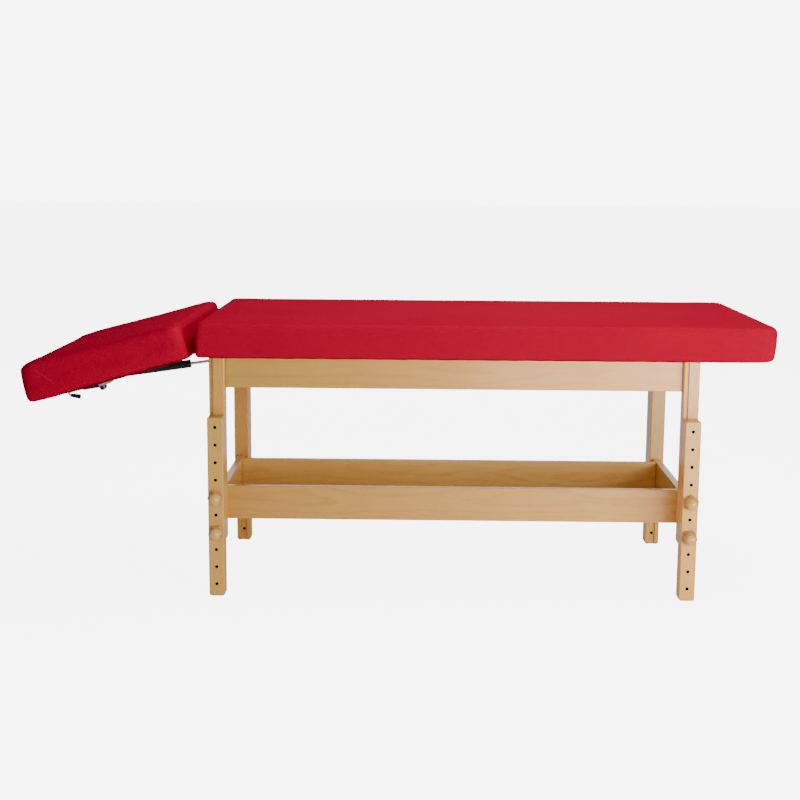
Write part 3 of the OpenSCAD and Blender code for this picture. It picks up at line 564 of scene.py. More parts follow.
def black_material(name, grey, rough, bump):
    """Black paint or moulded plastic, a little blue, with a fine orange peel and paler scuffs."""
    blue_black, scuffed = (1.0, 0.9, 1.9), (1.5, 1.4, 2.5)
    peel_scale, scuff_scale, spread, peel_depth = 1500.0, 60.0, 0.12, 0.0002
    material, g, shader, where = new_material(name, Specular_IOR_Level=0.32)
    peel = g.noise(where, peel_scale, 2.0)
    scuff = g.noise(where, scuff_scale, 4.0)
    plain, paler = (paint(grey * np.array(tint)) for tint in (blue_black, scuffed))
    g.put(shader.inputs["Base Color"], g.mix(g.ease(scuff, 0.55, 0.75), plain, paler))
    g.put(shader.inputs["Roughness"], g.ease(scuff, 0.3, 0.7, rough, rough + spread))
    add_bump(g, shader, peel, bump, peel_depth)
    return material


# Pads


def pad_rings(length, width, corners):
    """Rings of a pad from the middle of its underside to the middle of its top. Each ring is a rounded
    rectangle drawn in from the outline; its section is a quarter circle at the hem, a side drawn in
    towards the hem by a parabola, a quarter circle at the top edge, and a crown that rises by
    one minus the cube of what is left to the middle. corners are the radii of the top at the -X and
    +X end, and at the hem, where the board is, they are about a third of that."""
    props = sizes("pads")
    arc_steps, side_steps, ring_points, crowding = 7, 9, 64, 1.6
    inner_ring, first_ring, last_ring = 0.6, 0.01, 0.98
    hem_share, widening = 0.35, 0.4
    hem, lid, draw, shoulder = props.hem_radius, props.edge_radius, props.draw, props.thickness
    half = min(length, width) / 2
    a = np.linspace(0, np.pi / 2, arc_steps)
    u = np.linspace(0, 1, side_steps)[1:-1]
    c = np.linspace(0, 1, side_steps)[1:] ** crowding
    inset = np.concatenate([[half * inner_ring, draw + hem + first_ring], draw + hem * (1 - np.sin(a)),
                            draw * (1 - u) ** 2, lid * (1 - np.cos(a)),
                            lid + c * (half * last_ring - lid)])
    height = np.concatenate([[0, 0], hem * (1 - np.cos(a)), hem + u * (shoulder - lid - hem),
                             shoulder - lid * (1 - np.sin(a)),
                             shoulder + props.crown * (1 - (1 - c) ** 3)])
    turn = np.linspace(0, 2 * np.pi, ring_points, endpoint=False) + np.pi / ring_points
    sx, sy = np.sign(np.cos(turn)), np.sign(np.sin(turn))
    inner = np.maximum(0, inset - draw - hem)[:, None]
    fuller = hem_share + (1 - hem_share) * np.clip(height / shoulder, 0, 1)[:, None]
    corner = np.where(sx > 0, corners[1], corners[0]) * fuller + widening * inner
    corner = np.minimum(corner, half - inset[:, None])
    x = sx * (length / 2 - inset[:, None] - corner) + corner * np.cos(turn)
    y = sy * (width / 2 - inset[:, None] - corner) + corner * np.sin(turn)
    z = np.broadcast_to(height[:, None], x.shape)
    return np.stack([x, y, z], axis=2)


def padded_cover(name, length, width, corners, voxel, cap):
    """A stuffed cover: the pad's form is remeshed to even faces that are laid back on it, then swollen
    by cloth with pressure while the underside is held at the staples, held back to cap, and brought
    back to the pad's outline."""
    rings = pad_rings(length, width, corners)
    rows, columns = rings.shape[:2]
    faces = grid_quads(rows, columns, True).tolist()
    faces += [list(range(columns))[::-1], list(range((rows - 1) * columns, rows * columns))]
    form = mesh_object(name + "_form", rings.reshape(-1, 3), faces)
    cover = mesh_object(name, rings.reshape(-1, 3), faces)
    remesh = cover.modifiers.new("even", "REMESH")
    remesh.mode = "VOXEL"
    remesh.voxel_size = voxel
    lay = cover.modifiers.new("lay", "SHRINKWRAP")
    lay.target = form
    bake_modifiers(cover)
    bpy.data.objects.remove(form)
    start = points_of(cover)
    moved = swell(cover, start, width) - start
    far = np.linalg.norm(moved, axis=1)
    held = cap * np.tanh(far / cap) / np.maximum(far, TINY)
    set_points(cover, start + moved * held[:, None])
    finer = cover.modifiers.new("finer", "SUBSURF")
    finer.levels = finer.render_levels = 1
    bake_modifiers(cover)
    points = points_of(cover)
    points[:, :2] *= np.array([length, width]) / 2 / np.abs(points[:, :2]).max(axis=0)
    set_points(cover, points)
    return cover


def side_inset(z, hem, draw):
    """How far a pad's side stands in from its outline at height z, for a hem radius and a draw."""
    props = sizes("pads")
    below = np.maximum(hem - z, 0)
    rise = np.clip((z - hem) / (props.thickness - props.edge_radius - hem), 0, 1)
    return draw * (1 - rise) ** 2 + hem - np.sqrt(np.maximum(hem ** 2 - below ** 2, 0))


def shape_ends(points, length, low_end, high_end):
    """Gives the -X and the +X end their own (hem radius, draw) in place of the long sides': the
    difference of the two insets moves the end along X, easing to nothing 50 mm in from it."""
    props = sizes("pads")
    none_from, full_from = 0.050, 0.020
    x, z = points[:, 0], np.maximum(points[:, 2], 0)
    near = smooth_step(length / 2 - none_from, length / 2 - full_from, np.abs(x))
    common = side_inset(z, props.hem_radius, props.draw)
    own = np.where(x > 0, side_inset(z, *high_end), side_inset(z, *low_end))
    out = points.copy()
    out[:, 0] = np.clip(x + np.sign(x) * near * (common - own), -length / 2, length / 2)
    return out


def round_top_end(points, length, radius):
    """Rounds the upper edge of the +X end: what lies further than radius from the axis that runs a
    radius below the top and a radius in from the end is brought in to that distance."""
    top = points[points[:, 0] > length / 2 - 2 * radius, 2].max()
    across, rise = points[:, 0] - (length / 2 - radius), points[:, 2] - (top - radius)
    far = np.hypot(across, rise)
    outside = (across > 0) & (rise > 0) & (far > radius)
    shrink = np.where(outside, radius / np.maximum(far, TINY), 1.0)
    out = points.copy()
    out[:, 0] = length / 2 - radius + across * shrink
    out[:, 2] = top - radius + rise * shrink
    return out


def fill_out(points, length, width):
    """The headrest's foam stands fuller towards its outer end: the top is raised by 2 mm at the hinges
    and by 7 mm towards the outer end, and the outer end bows out by 9 mm at mid-width."""
    rise, further_rise, rise_from, rise_to = 0.002, 0.005, 0.14, -0.16
    bow, belly_bow, edge_bow, bow_from, bow_to = 0.004, 0.003, 0.002, 0.07, 0.01
    x, y, z = points.T
    share = z / sizes("pads").thickness
    out = points.copy()
    out[:, 2] += share * (rise + further_rise * smooth_step(rise_from, rise_to, x))
    near = smooth_step(-length / 2 + bow_from, -length / 2 + bow_to, x)
    belly = np.sin(np.pi * np.clip(share, 0, 1))
    across = 1 - (2 * y / width) ** 2
    out[:, 0] -= near * (edge_bow * belly + across * (bow + belly_bow * belly))
    return out


def ripple_hem(points, length, width, sag):
    """Lets the hem hang a little unevenly along both long sides: two sine waves along X on the lowest
    22 mm, half as high until half a metre from the +X end, and a sag, or below zero a lift, that starts
    50 mm from the -X end and is full by 160 mm."""
    long_wave, long_height, long_start, short_wave, short_height = 0.113, 0.0007, 1.1, 0.049, 0.0005
    wave_height, calm_by, full_by, sag_from, sag_full = 0.022, 0.5, 0.1, 0.05, 0.16
    side_inner, side_outer = 0.032, 0.012
    x, y, z = points.T
    side = smooth_step(side_inner, side_outer, width / 2 - np.abs(y))
    low = 1 - smooth_step(0.0, wave_height, z)
    wave = (long_height * np.sin(2 * np.pi * x / long_wave + long_start) +
            short_height * np.sin(2 * np.pi * x / short_wave))
    growing = 0.5 + 0.5 * smooth_step(length / 2 - calm_by, length / 2 - full_by, x)
    hang = sag * smooth_step(sag_from - length / 2, sag_full - length / 2, x)
    out = points.copy()
    out[:, 2] += side * low * (wave * growing - hang)
    return out


def swell(cover, start, width):
    """Where cloth with a little pressure takes the cover in twenty steps. The underside is pinned, and
    the pins reach higher up the hem at each staple, so that the hem ripples between them."""
    props = sizes("pads")
    side_band, pin_low, pin_rise, wander, wander_rate, half_step = 0.06, 0.003, 0.006, 1.3, 17.0, 0.125
    along = np.where(np.abs(start[:, 1]) > width / 2 - side_band, start[:, 0], start[:, 1])
    ripple = 0.5 + 0.5 * np.cos(2 * np.pi * along / (2 * props.staple_step) +
                                wander * np.sin(along * wander_rate))
    pinned = 1 - smooth_step(pin_low, pin_rise + pin_rise * ripple, start[:, 2])
    group = cover.vertex_groups.new(name="held")
    for weight in (0.25, 0.5, 0.75, 1.0):
        chosen = np.nonzero((pinned > weight - half_step) & (pinned <= weight + half_step))[0]
        group.add(chosen.tolist(), weight, "REPLACE")
    cloth = cover.modifiers.new("cloth", "CLOTH")
    settings = cloth.settings
    settings.quality = 5
    settings.mass = 0.4
    settings.tension_stiffness = settings.compression_stiffness = 25
    settings.shear_stiffness = 12
    settings.bending_stiffness = 1.5
    settings.use_pressure = True
    settings.uniform_pressure_force = 4.0
    settings.vertex_group_mass = "held"
    settings.effector_weights.gravity = 0
    cloth.collision_settings.use_collision = False
    scene = bpy.context.scene
    for step in range(1, CLOTH_STEPS + 1):
        scene.frame_set(step)
    graph = bpy.context.evaluated_depsgraph_get()
    mesh = cover.evaluated_get(graph).data
    flat = np.empty(3 * len(mesh.vertices))
    mesh.vertices.foreach_get("co", flat)
    cover.modifiers.clear()
    scene.frame_set(1)
    return flat.reshape(-1, 3)


class TABLE_OT_main_pad(bpy.types.Operator):
    """Build the long padded top"""
    bl_idname = "massage_table.main_pad"
    bl_label = "Main pad"

    def execute(self, context):
        corners, voxel, swelling = (0.020, 0.042), 0.0095, 0.003
        head_end, foot_end, stretch, stretched_run = (0.009, 0.0), (0.017, 0.006), 0.0035, 0.3
        dimple_in, dimple_up = 0.052, 0.044
        length, width = (MAIN_HIGH - MAIN_LOW)[:2]
        cover = padded_cover("main_cushion", length, width, corners, voxel, swelling)
        points = shape_ends(points_of(cover), length, head_end, foot_end)
        points[:, 0] += stretch * smooth_step(length / 2 - stretched_run, length / 2, points[:, 0])
        points = tuck_under(ripple_hem(points, length, width, 0.0), length, width)
        points = pinch(points, (length / 2 - dimple_in, dimple_up), width)
        place = np.array([(MAIN_LOW[0] + MAIN_HIGH[0]) / 2, 0, TOP_Z])
        set_points(cover, points + place)
        dress(cover, finish("red_cover"), "frame", ["main_pad"])
        under_cover("main", length, width, lambda p: p + place, "frame")
        return {"FINISHED"}


class TABLE_OT_headrest_pad(bpy.types.Operator):
    """Build the short padded top of the headrest"""
    bl_idname = "massage_table.headrest_pad"
    bl_label = "Headrest pad"

    def execute(self, context):
        corners, voxel, swelling = (0.045, 0.036), 0.0062, 0.003
        outer_end, hinge_end, top_radius, hem_lift = (0.014, 0.0), (0.007, 0.0), 0.030, 0.0030
        length, width = sizes("pads").head_length, (MAIN_HIGH - MAIN_LOW)[1]
        cover = padded_cover("headrest_cushion", length, width, corners, voxel, swelling)
        points = shape_ends(points_of(cover), length, outer_end, hinge_end)
        points = round_top_end(fill_out(points, length, width), length, top_radius)
        points = soft_folds(ripple_hem(points, length, width, -hem_lift), length, width)
        points = tuck_under(points, length, width)
        set_points(cover, head_place(points))
        dress(cover, finish("red_cover"), "headrest", ["headrest_pad"])
        under_cover("headrest", length, width, head_place, "headrest")
        corner_folds(cover, length, width)
        return {"FINISHED"}


def head_place(points):
    """Points of the headrest's pad, centred on its underside, turned down about the hinge pin."""
    props = sizes("pads")
    x = points[:, 0] - props.gap / 2 - props.head_length / 2
    z = points[:, 2] + props.leaf
    c, s = math.cos(props.head_tilt), math.sin(props.head_tilt)
    return np.stack([HINGE[0] + x * c - z * s, points[:, 1], HINGE[2] + x * s + z * c], axis=1)


def tuck_under(points, length, width):
    """Lifts the underside inside the hem by 6 mm, into the board that fills it there."""
    props = sizes("pads")
    depth, tuck_from, tuck_full, underside = 0.006, 0.003, 0.010, 0.004
    inset = np.minimum(length / 2 - np.abs(points[:, 0]), width / 2 - np.abs(points[:, 1]))
    inner = props.draw + props.hem_radius
    lift = depth * smooth_step(inner + tuck_from, inner + tuck_full, inset)
    under = points[:, 2] < underside
    points = points.copy()
    points[under, 2] += lift[under]
    return points


def soft_folds(points, length, width):
    """Soft folds where the headrest's cover is gathered at the hinge end: waves across the top edge
    that fade over 70 mm from the end and towards the middle of the width."""
    reach, low, high, side_reach = 0.035, 0.02, 0.06, 0.10
    rise, rise_wave, slant, push, push_wave, middle = 0.0022, 0.055, 40, 0.0015, 0.08, 0.25
    x, y, z = points.T
    from_end, from_side = length / 2 - x, width / 2 - np.abs(y)
    near = np.exp(-(from_end / reach) ** 2) * smooth_step(low, high, z)
    edge = smooth_step(side_reach, 0.0, from_side)
    fold = np.sin(from_side * 2 * np.pi / rise_wave + from_end * slant)
    out = points.copy()
    out[:, 2] += rise * near * fold * (middle + (1 - middle) * edge)
    out[:, 0] += push * near * np.cos(from_side * 2 * np.pi / push_wave) * edge
    return out


def pinch(points, spot, width):
    """Small dimples in both long sides at spot (x, z), where the cover is pulled in: a bell 0.9 mm deep
    that falls off over 14 mm along the side and 5 mm up and down."""
    bell_length, bell_height, depth, side_band = 0.014, 0.005, 0.0009, 0.03
    x, y, z = points.T
    bell = np.exp(-((x - spot[0]) / bell_length) ** 2 - ((z - spot[1]) / bell_height) ** 2)
    out = points.copy()
    out[:, 1] -= np.sign(y) * depth * bell * (np.abs(y) > width / 2 - side_band)
    return out


def outline_path(length, width, inset, radius, step):
    """A closed rounded rectangle, as points about step apart, with the outward direction at each:
    straight runs and quarter circles laid end to end, read at even distances."""
    l, w = length / 2 - inset, width / 2 - inset
    straight_x, straight_y, arc = 2 * (l - radius), 2 * (w - radius), radius * np.pi / 2
    legs = np.array([straight_y, arc, straight_x, arc, straight_y, arc, straight_x, arc])
    ends = np.cumsum(legs)
    count = int(round(ends[-1] / step))
    s = (np.arange(count) + 0.5) * ends[-1] / count
    leg = np.searchsorted(ends, s)
    t = s - (ends - legs)[leg]
    quarter = leg // 2
    base = quarter * np.pi / 2
    on_arc = leg % 2 == 1
    angle = base + np.where(on_arc, t / radius, 0)
    half_run = np.where(quarter % 2 == 0, w - radius, l - radius)
    reach = np.where(quarter % 2 == 0, l, w)
    cb, sb = np.cos(base), np.sin(base)
    flat = np.where(on_arc, 0, t - half_run)
    px = np.where(on_arc, (reach - radius) + radius * np.cos(angle - base), reach)
    py = np.where(on_arc, half_run + radius * np.sin(angle - base), flat)
    points = np.stack([px * cb - py * sb, px * sb + py * cb], axis=1)
    outward = np.stack([np.cos(angle), np.sin(angle)], axis=1)
    return points, outward


def under_cover(name, length, width, place, body):
    """The cover's turned-under edge below the board, with its staples. The strip is a flat band with
    rounded edges that follows the outline; each staple is a thin bar with bent ends."""
    props = sizes("pads")
    inner = props.draw + props.hem_radius
    radius, step, thick, band, edge = inner + 0.010, 0.008, 0.0011, 0.040, 0.004
    wave_heights, wave_rates, ragged = (0.00025, 0.0002), (0.9, 0.37), 6
    lap, buried, raw_edge, staple_line, staple_turn = 0.0002, 0.0006, 0.0005, 0.72, 0.6
    path, outward = outline_path(length, width, inner, radius, step)
    across = np.array([-edge, 0.0, edge, band - edge / 2, band, band - raw_edge, edge, 0.0, -edge])
    level = np.array([lap, -lap, -thick, -thick, -thick / 2, buried / 2, buried, buried, buried])
    wave = sum(h * np.sin(np.arange(len(path)) * rate) for h, rate in zip(wave_heights, wave_rates))
    depth = across[:, None] + np.where(across > band / 2, 1, 0)[:, None] * ragged * wave
    xy = path[None] - outward[None] * depth[..., None]
    z = level[:, None] + np.where(level < -thick / 4, 1, 0)[:, None] * wave
    rings = np.concatenate([xy, z[..., None]], axis=2)
    quads = grid_quads(len(across), len(path), True).tolist()
    closing = [[(len(across) - 1) * len(path) + a, (len(across) - 1) * len(path) + (a + 1) % len(path),
                (a + 1) % len(path), a] for a in range(len(path))]
    hem = mesh_object(name + "_hem", place(rings.reshape(-1, 3)), quads + closing)
    orient_out(hem)
    dress(hem, finish("red_cover"), body)
    spots, out = outline_path(length, width, inner + band * staple_line,
                              radius * staple_turn, props.staple_step)
    staples(name + "_staples", spots, out, thick, place, body)


def orient_out(thing):
    """Turns the faces of a closed mesh to point outwards."""
    mesh = bmesh.new()
    mesh.from_mesh(thing.data)
    bmesh.ops.recalc_face_normals(mesh, faces=mesh.faces)
    mesh.to_mesh(thing.data)
    mesh.free()


def staples(name, spots, outward, depth, place, body):
    """Wire staples: each a bar 11 mm long along the hem, bent up at both ends, as one swept hexagon."""
    reach, rise, bend_in, bend_up = 0.0055, 0.0022, 0.0006, 0.0004
    wire, pressed_in, sides = 0.00055, 0.3, 6
    arch = np.array([[-reach, rise], [-reach, bend_up], [-reach + bend_in, 0.0], [reach - bend_in, 0.0],
                     [reach, bend_up], [reach, rise]])
    bend = np.array([1.0, 0.7, 0.0, 0.0, -0.7, -1.0])[:, None]
    turn = np.linspace(0, 2 * np.pi, sides, endpoint=False)[None]
    along = arch[:, :1] + bend * wire * np.sin(turn)
    level = arch[:, 1:] + (1 - np.abs(bend)) * wire * np.sin(turn) - depth - wire * pressed_in
    side = np.broadcast_to(wire * np.cos(turn), along.shape)
    tangent = np.stack([-outward[:, 1], outward[:, 0]], axis=1)
    xy = (spots[:, None, None] + tangent[:, None, None] * along[None, ..., None] +
          outward[:, None, None] * side[None, ..., None])
    z = np.broadcast_to(level[None, ..., None], xy.shape[:3] + (1,))
    points = np.concatenate([xy, z], axis=3).reshape(-1, 3)
    each = along.size
    faces = grid_quads(len(arch), sides, True)[None] + (np.arange(len(spots)) * each)[:, None, None]
    piece = mesh_object(name, place(points), faces.reshape(-1, 4).tolist())
    orient_out(piece)
    dress(piece, finish("zinc_steel"), body)


def corner_folds(cover, length, width):
    """The mitre folds of the headrest's cover at its outer corners: a thin rounded lip that runs down
    the side slantwise from the top edge to the hem, laid on the cover, in a lighter red that paints a
    highlight along the fold."""
    props = sizes("pads")
    from_end, run, below_top, fall = 0.041, 0.050, 0.006, 0.060
    half_thick, blunt, steps, sides = 0.0009, 0.02, 30, 8
    tree = BVHTree.FromPolygons([Vector(v) for v in points_of(cover)],
                                [tuple(p.vertices) for p in cover.data.polygons])
    t = np.linspace(0, 1, steps)
    all_points, all_faces = [], []
    for side in (-1, 1):
        x = from_end + run * t - length / 2
        z = props.thickness - below_top - fall * t
        guess = head_place(np.stack([x, np.full_like(t, side * width / 2), z], axis=1))
        near = [tree.find_nearest(Vector(p)) for p in guess]
        path = np.array([np.array(hit[0]) for hit in near])
        lift = np.array([np.array(hit[1]) for hit in near]).mean(axis=0)
        taper = half_thick * np.sqrt(np.clip(np.sin(np.pi * np.clip(t, blunt, 1 - blunt)), 0, 1))
        points, faces = tube_along(path, taper, sides, lift)
        all_faces += [[i + len(points) * len(all_points) for i in face] for face in faces]
        all_points.append(points)
    lip = mesh_object("headrest_corner_folds", np.concatenate(all_points), all_faces)
    orient_out(lip)
    # the lip is a lighter red: painted highlight along the fold
    dress(lip, finish("red_fold"), "headrest")


# Knobs


class TABLE_OT_knobs(bpy.types.Operator):
    """Build the eight turned wooden knobs"""
    bl_idname = "massage_table.knobs"
    bl_label = "Knobs"

    def execute(self, context):
        scatter, scatter_step, off_leg = 0.45, 2.4, 0.0003
        places = [(side, end, level) for side, end in CORNERS for level in ("high", "low")]
        for number, (side, end, level) in enumerate(places):
            node = "knob_%s_%s_%s" % (side, end, level)
            pivot = np.array(JOINTS["knob_turn_%s_%s_%s" % (side, end, level)]["pos_m"])
            turned = math.pi + scatter * math.sin(scatter_step * number)
            points, faces, shade = knob_shape(turned)
            out = SIDE_SIGN[side] * (points[:, 2] + off_leg)
            placed = pivot + np.stack([points[:, 0], out, points[:, 1]], axis=1)
            knob = mesh_object("turned_" + node, placed, faces)
            orient_out(knob)
            # the painted shade goes with the knob as an attribute, which its wood reads
            knob.data.attributes.new("shade", "FLOAT", "POINT").data.foreach_set("value", shade)
            dress(knob, finish("turned_wood"), node, [node])
        return {"FINISHED"}


def knob_shape(turned):
    """A knob about Z: a profile of radius and height carried round the axis. Below the neck the radius
    is drawn in between five lobes by the cosine of five times the angle; the head is round and domed.
    The last array is painted shade: how much darker the wood is in the crevice under the head and low
    on the foot, most between the lobes."""
    props = sizes("knobs")
    foot, head, top = props.foot, props.head, props.height
    bore, neck, lobes, fullness, dome_steps, round_steps, pole = 0.006, 0.0135, 5, 0.8, 13, 80, 0.0002
    lobe_rise, middle_share, crease_below, crease_height, crease_shade = 0.003, 0.6, 0.001, 0.0022, 0.8
    hollow_high, hollow_low, hollow_shade, hollow_wave = 0.0115, 0.004, 0.35, 0.5
    profile = np.array([
        (bore, 0.0025), (bore, 0.0), (foot - 0.0024, 0.0), (foot - 0.0012, 0.0004),
        (foot - 0.0003, 0.0015), (foot, 0.0030), (foot, 0.0062), (foot - 0.0003, 0.0080),
        (foot - 0.0013, 0.0098), (foot - 0.0030, 0.0112), (head + 0.0014, 0.0121),
        (head + 0.0004, 0.0128), (head, neck), (head, 0.0180), (head - 0.0001, 0.0220),
        (head - 0.0004, 0.0250), (head - 0.0011, 0.0280)])
    rim_r, rim_z = profile[-1]
    a = np.linspace(0, np.pi / 2, dome_steps)[1:]
    dome = np.stack([rim_r * np.cos(a), rim_z + (top - rim_z) * np.sin(a)], axis=1)
    dome[-1, 0] = pole
    profile = np.concatenate([profile, dome])
    theta = np.linspace(0, 2 * np.pi, round_steps, endpoint=False)
    lobed = (smooth_step(neck, neck - lobe_rise, profile[:, 1]) *
             smooth_step(bore, foot * middle_share, profile[:, 0]))
    wave = (0.5 - 0.5 * np.cos(lobes * (theta - turned))) ** fullness
    radius = profile[:, 0][:, None] - props.lobe * lobed[:, None] * wave[None]
    x, y = radius * np.cos(theta), radius * np.sin(theta)
    z = np.broadcast_to(profile[:, 1][:, None], x.shape)
    faces = grid_quads(len(profile), len(theta), True).tolist()
    last = (len(profile) - 1) * len(theta)
    faces += [list(range(len(theta)))[::-1], list(range(last, last + len(theta)))]
    # painted shade: darker in the crevice under the head, and low on the foot, most between the lobes
    crevice = np.exp(-((profile[:, 1] - neck + crease_below) / crease_height) ** 2)
    hollow = (smooth_step(hollow_high, hollow_low, profile[:, 1])[:, None] *
              (hollow_shade + hollow_wave * wave[None]))
    shade = np.clip(crease_shade * crevice[:, None] + hollow, 0, 1)
    return np.stack([x, y, z], axis=2).reshape(-1, 3), faces, shade.ravel()


# Woodwork and metalwork


def finish_node(node, material):
    """Gives a CAD node's object its material."""
    for slot in frame["nodes"][node].material_slots:
        slot.material = material


class TABLE_OT_finishes(bpy.types.Operator):
    """Make the shared node groups, and the materials that more than one piece uses"""
    bl_idname = "massage_table.finishes"
    bl_label = "Finishes"

    def execute(self, context):
        wood_figure()
        cover_grain()
        metal_grain()
        cover_material("red_cover")
        # a lighter red for the folds' lip: painted highlight
        cover_material("red_fold", lighten=0.12)
        metal_material("zinc_steel", (0.62, 0.63, 0.65), 0.30)
        metal_material("machined_steel", (0.55, 0.56, 0.58), 0.26)
        metal_material("chromed_rod", (0.84, 0.85, 0.92), 0.45, metallic=0.15, dull=0.05)
        metal_material("brass", (0.74, 0.52, 0.20), 0.28)
        black_material("black_steel", 0.008, 0.34, 0.10)
        black_material("black_plastic", 0.009, 0.42, 0.20)
        # the knobs' wood takes painted shade from their shade attribute
        wood_material("turned_wood", "y", (0.012, 0.160, 0.0), ring=0.0030, gloss=0.20, darker="shade",
                      tone=(0.95, 1.0, 1.25))
        return {"FINISHED"}


METALS = ("zinc_steel", "machined_steel", "chromed_rod", "brass", "black_steel", "black_plastic")
# The plywood sheet's tone is paler and bluer: paler as birch plywood is, and bluer as painted cool shade, so that
# light bounced round the tray does not turn orange
BOARD_RING, SHEET_RING, SHEET_TONE = 0.0095, 0.006, (0.95, 1.12, 1.7)
# Painted light and shade on each leg: the front leg at the foot end paler and pinker, where the light falls, the
# others darker, the rear leg at the head end most
LEG_PAINTED_LIGHT = {("front", "head"): (0.90, 0.92, 0.89), ("front", "foot"): (1.17, 1.08, 1.30),
             ("rear", "head"): (0.84, 0.72, 0.62), ("rear", "foot"): (0.93, 0.98, 1.02)}
# Each board's distance from the log's heart, its start along the log and its tone. The tones paint
# light and shade: the long aprons and the tray's front board darker at the head end and paler at the
# foot end, where the light falls, and the tray's other boards paler and bluer, a painted cool shade
# inside the tray
LONG_BOARDS = {"front_apron": (0.045, 0.3, ((0.76, 0.80, 0.76), (1.25, 1.09, 1.26))),
               "rear_apron": (0.05, 1.7, ((0.90, 0.92, 0.90), (1.0, 1.0, 1.05))),
               "tray_front_board": (0.052, 2.9, ((0.79, 0.74, 0.60), (1.06, 1.0, 1.0))),
               "tray_rear_board": (0.040, 4.1, ((1.06, 1.18, 1.55), (1.10, 1.26, 1.9)))}
CROSS_BOARDS = {"head_apron": (0.04, 5.3, (1.0, 1.0, 1.0)), "foot_apron": (0.055, 6.1, (1.0, 1.0, 1.0)),
                "tray_head_board": (0.05, 7.7, (1.18, 1.34, 2.0)),
                "tray_foot_board": (0.045, 8.3, (1.04, 1.20, 1.8))}


class TABLE_OT_woodwork(bpy.types.Operator):
    """Finish the legs, aprons, tray and boards as varnished wood"""
    bl_idname = "massage_table.woodwork"
    bl_label = "Woodwork"

    def execute(self, context):
        heart_y, heart_rise, start_rate = 0.043, 0.012, 6.3
        for side, end in CORNERS:
            x, y = (np.array(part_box("lower_leg_%s_%s" % (side, end))).mean(axis=0))[:2]
            for part, shift in (("lower", 0.051), ("upper", -0.037)):
                heart = (float(x) + shift * END_SIGN[end], float(y) + heart_y, start_rate * shift)
                name = "%s_leg_%s_%s" % (part, side, end)
                finish_node(name, wood_material("wood_" + name, "z", heart, holes=part == "lower",
                                                tone=LEG_PAINTED_LIGHT[side, end]))
        for name, (depth, start, tone) in LONG_BOARDS.items():
            low, high = (np.array(c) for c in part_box(name))
            heart = (float((low + high)[2] / 2 + heart_rise), float(low[1] + depth), start)
            finish_node(name, wood_material("wood_" + name, "x", heart, ring=BOARD_RING, tone=tone,
                                            seam=float((high - low)[0]) / 2))
        for name, (depth, start, tone) in CROSS_BOARDS.items():
            low, high = (np.array(c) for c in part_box(name))
            heart = (float(low[0] - depth), float((low + high)[2] / 2), start)
            finish_node(name, wood_material("wood_" + name, "y", heart, ring=BOARD_RING, tone=tone))
        sheet = wood_material("plywood_sheet", "x", (0.40, 0.35, 3.3), ring=SHEET_RING, gloss=0.46,
                              tone=SHEET_TONE)
        for name in ("tray_panel", "top_board", "headrest_board", "corner_blocks", "dowels"):
            finish_node(name, sheet)
        return {"FINISHED"}


class TABLE_OT_metalwork(bpy.types.Operator):
    """Finish the hinges, brackets, screws, gas spring and release lever"""
    bl_idname = "massage_table.metalwork"
    bl_label = "Metalwork"

    def execute(self, context):
        for entry in frame["record"]["subparts"]:
            if entry["material_slot"] in METALS:
                finish_node(entry["node"], finish(entry["material_slot"]))
        return {"FINISHED"}


# Stage


CAMERA_PLACE = (0.0567, -3.7774, 1.0804)
CAMERA_YAW, CAMERA_PITCH, CAMERA_ROLL = (math.radians(a) for a in (0.785, 9.281, -0.407))
PICTURE_PX, FOCAL_PX, SENSOR_MM, VIEW_REACH = 800, 1415.3, 36.0, 200
LAMP_AIM, FLOOR_HALF = (0.1, 0.0, 0.5), 40
ROOM_COLOUR, BACKDROP_EXTRA = (0.95, 0.92, 1.12, 1.0), 0.9
# Each lamp's place and its width and height
LAMPS = {"key": ((1.9, -2.35, 0.65), (1.9, 1.1)), "strip": ((0.95, -2.75, 0.33), (1.3, 0.5)),
         "fill": ((-3.0, -3.4, 2.0), (2.6, 2.6)), "top": ((0.5, -0.1, 2.3), (1.6, 1.6)),
         "back": ((0.0, 3.6, 1.4), (4.2, 1.8))}


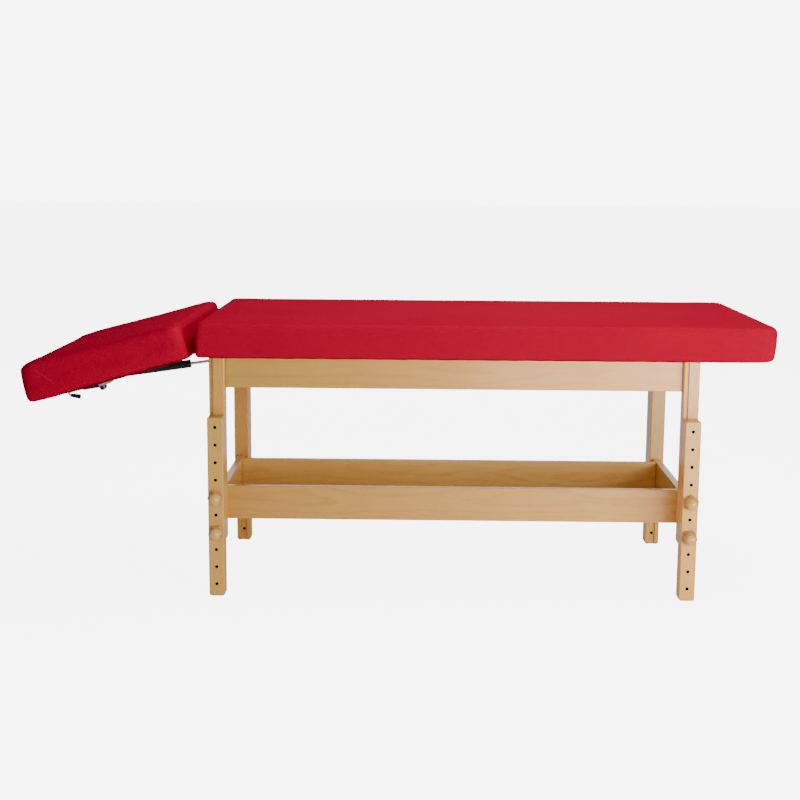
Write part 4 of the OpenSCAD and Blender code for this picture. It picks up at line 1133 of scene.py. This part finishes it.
class TABLE_OT_stage(bpy.types.Operator):
    """Set up the floor, the soft lights and the camera"""
    bl_idname = "massage_table.stage"
    bl_label = "Stage"

    def execute(self, context):
        props = sizes("stage")
        corners = [(x * FLOOR_HALF, y * FLOOR_HALF, 0) for x, y in ((-1, -1), (1, -1), (1, 1), (-1, 1))]
        floor = mesh_object("floor", corners, [(0, 1, 2, 3)])
        material, g, shader = new_material("plain_floor", Roughness=0.8, Specular_IOR_Level=0.2,
                                           Emission_Color=(1, 1, 1, 1))[:3]
        shader.inputs["Base Color"].default_value = tuple(props.floor) + (1.0,)
        seen = g.node("LightPath").outputs["Is Camera Ray"]
        g.put(shader.inputs["Emission Strength"], g.math("MULTIPLY", seen, props.glow))
        floor.data.materials.append(material)
        aim = Vector(LAMP_AIM)
        for name, (place, size) in LAMPS.items():
            light = bpy.data.lights.new(name, "AREA")
            light.energy, light.shape = getattr(props, name), "RECTANGLE"
            light.size, light.size_y = size
            lamp = bpy.data.objects.new(name, light)
            lamp.location = place
            lamp.rotation_euler = (aim - lamp.location).to_track_quat("-Z", "Y").to_euler()
            lamp.visible_camera = False
            context.scene.collection.objects.link(lamp)
        self.light_room(context, props.room, props.glow + BACKDROP_EXTRA)
        self.set_camera(context)
        return {"FINISHED"}

    def light_room(self, context, strength, paleness):
        """A white backdrop for the camera, and an even, slightly violet room for all other rays."""
        world = bpy.data.worlds.new("studio")
        world.use_nodes = True
        context.scene.world = world
        tree = world.node_tree
        g = Graph(tree)
        seen = tree.nodes["Background"]
        seen.inputs["Color"].default_value = (1, 1, 1, 1)
        seen.inputs["Strength"].default_value = paleness
        lit = tree.nodes.new("ShaderNodeBackground")
        lit.inputs["Color"].default_value = ROOM_COLOUR
        lit.inputs["Strength"].default_value = strength
        mixer = g.node("MixShader")
        g.put(mixer.inputs[0], g.node("LightPath").outputs["Is Camera Ray"])
        tree.links.new(lit.outputs[0], mixer.inputs[1])
        tree.links.new(seen.outputs[0], mixer.inputs[2])
        tree.links.new(mixer.outputs[0], tree.nodes["World Output"].inputs["Surface"])

    def set_camera(self, context):
        """The photograph's camera: turned by its yaw, pitched down, then rolled about its own axis."""
        cy, sy = math.cos(CAMERA_YAW), math.sin(CAMERA_YAW)
        cp, sp = math.cos(CAMERA_PITCH), math.sin(CAMERA_PITCH)
        cr, sr = math.cos(CAMERA_ROLL), math.sin(CAMERA_ROLL)
        level, rise = Vector((cy, sy, 0)), Vector((-sy * sp, cy * sp, cp))
        right, up = cr * level - sr * rise, sr * level + cr * rise
        back = Vector((sy * cp, -cy * cp, sp))
        data = bpy.data.cameras.new("camera")
        data.lens = SENSOR_MM * FOCAL_PX / PICTURE_PX
        data.sensor_width = SENSOR_MM
        data.clip_end = VIEW_REACH
        camera = bpy.data.objects.new("camera", data)
        turn = Matrix((right, up, back)).transposed()
        camera.matrix_world = Matrix.Translation(CAMERA_PLACE) @ turn.to_4x4()
        context.scene.collection.objects.link(camera)
        context.scene.camera = camera


# Add-on


STEPS = (TABLE_OT_finishes, TABLE_OT_woodwork, TABLE_OT_metalwork, TABLE_OT_main_pad,
         TABLE_OT_headrest_pad, TABLE_OT_knobs, TABLE_OT_stage)


class TABLE_PT_panel(bpy.types.Panel):
    """Lists the steps that build the table"""
    bl_idname = "TABLE_PT_panel"
    bl_label = "Massage table"
    bl_space_type = "VIEW_3D"
    bl_region_type = "UI"
    bl_category = "Massage table"

    def draw(self, context):
        for step in STEPS:
            self.layout.operator(step.bl_idname)


GROUPS = {"pads": PadSizes, "wood": WoodSizes, "knobs": KnobSizes, "stage": StageSizes}


def register():
    for cls in (*GROUPS.values(), *STEPS, TABLE_PT_panel):
        bpy.utils.register_class(cls)
    for name, cls in GROUPS.items():
        setattr(bpy.types.Scene, "massage_table_" + name, bpy.props.PointerProperty(type=cls))


def unregister():
    for name in GROUPS:
        delattr(bpy.types.Scene, "massage_table_" + name)
    for cls in reversed((*GROUPS.values(), *STEPS, TABLE_PT_panel)):
        bpy.utils.unregister_class(cls)


def main():
    register()
    for step in STEPS:
        category, name = step.bl_idname.split(".")
        getattr(getattr(bpy.ops, category), name)()


if __name__ == "__main__":
    main()
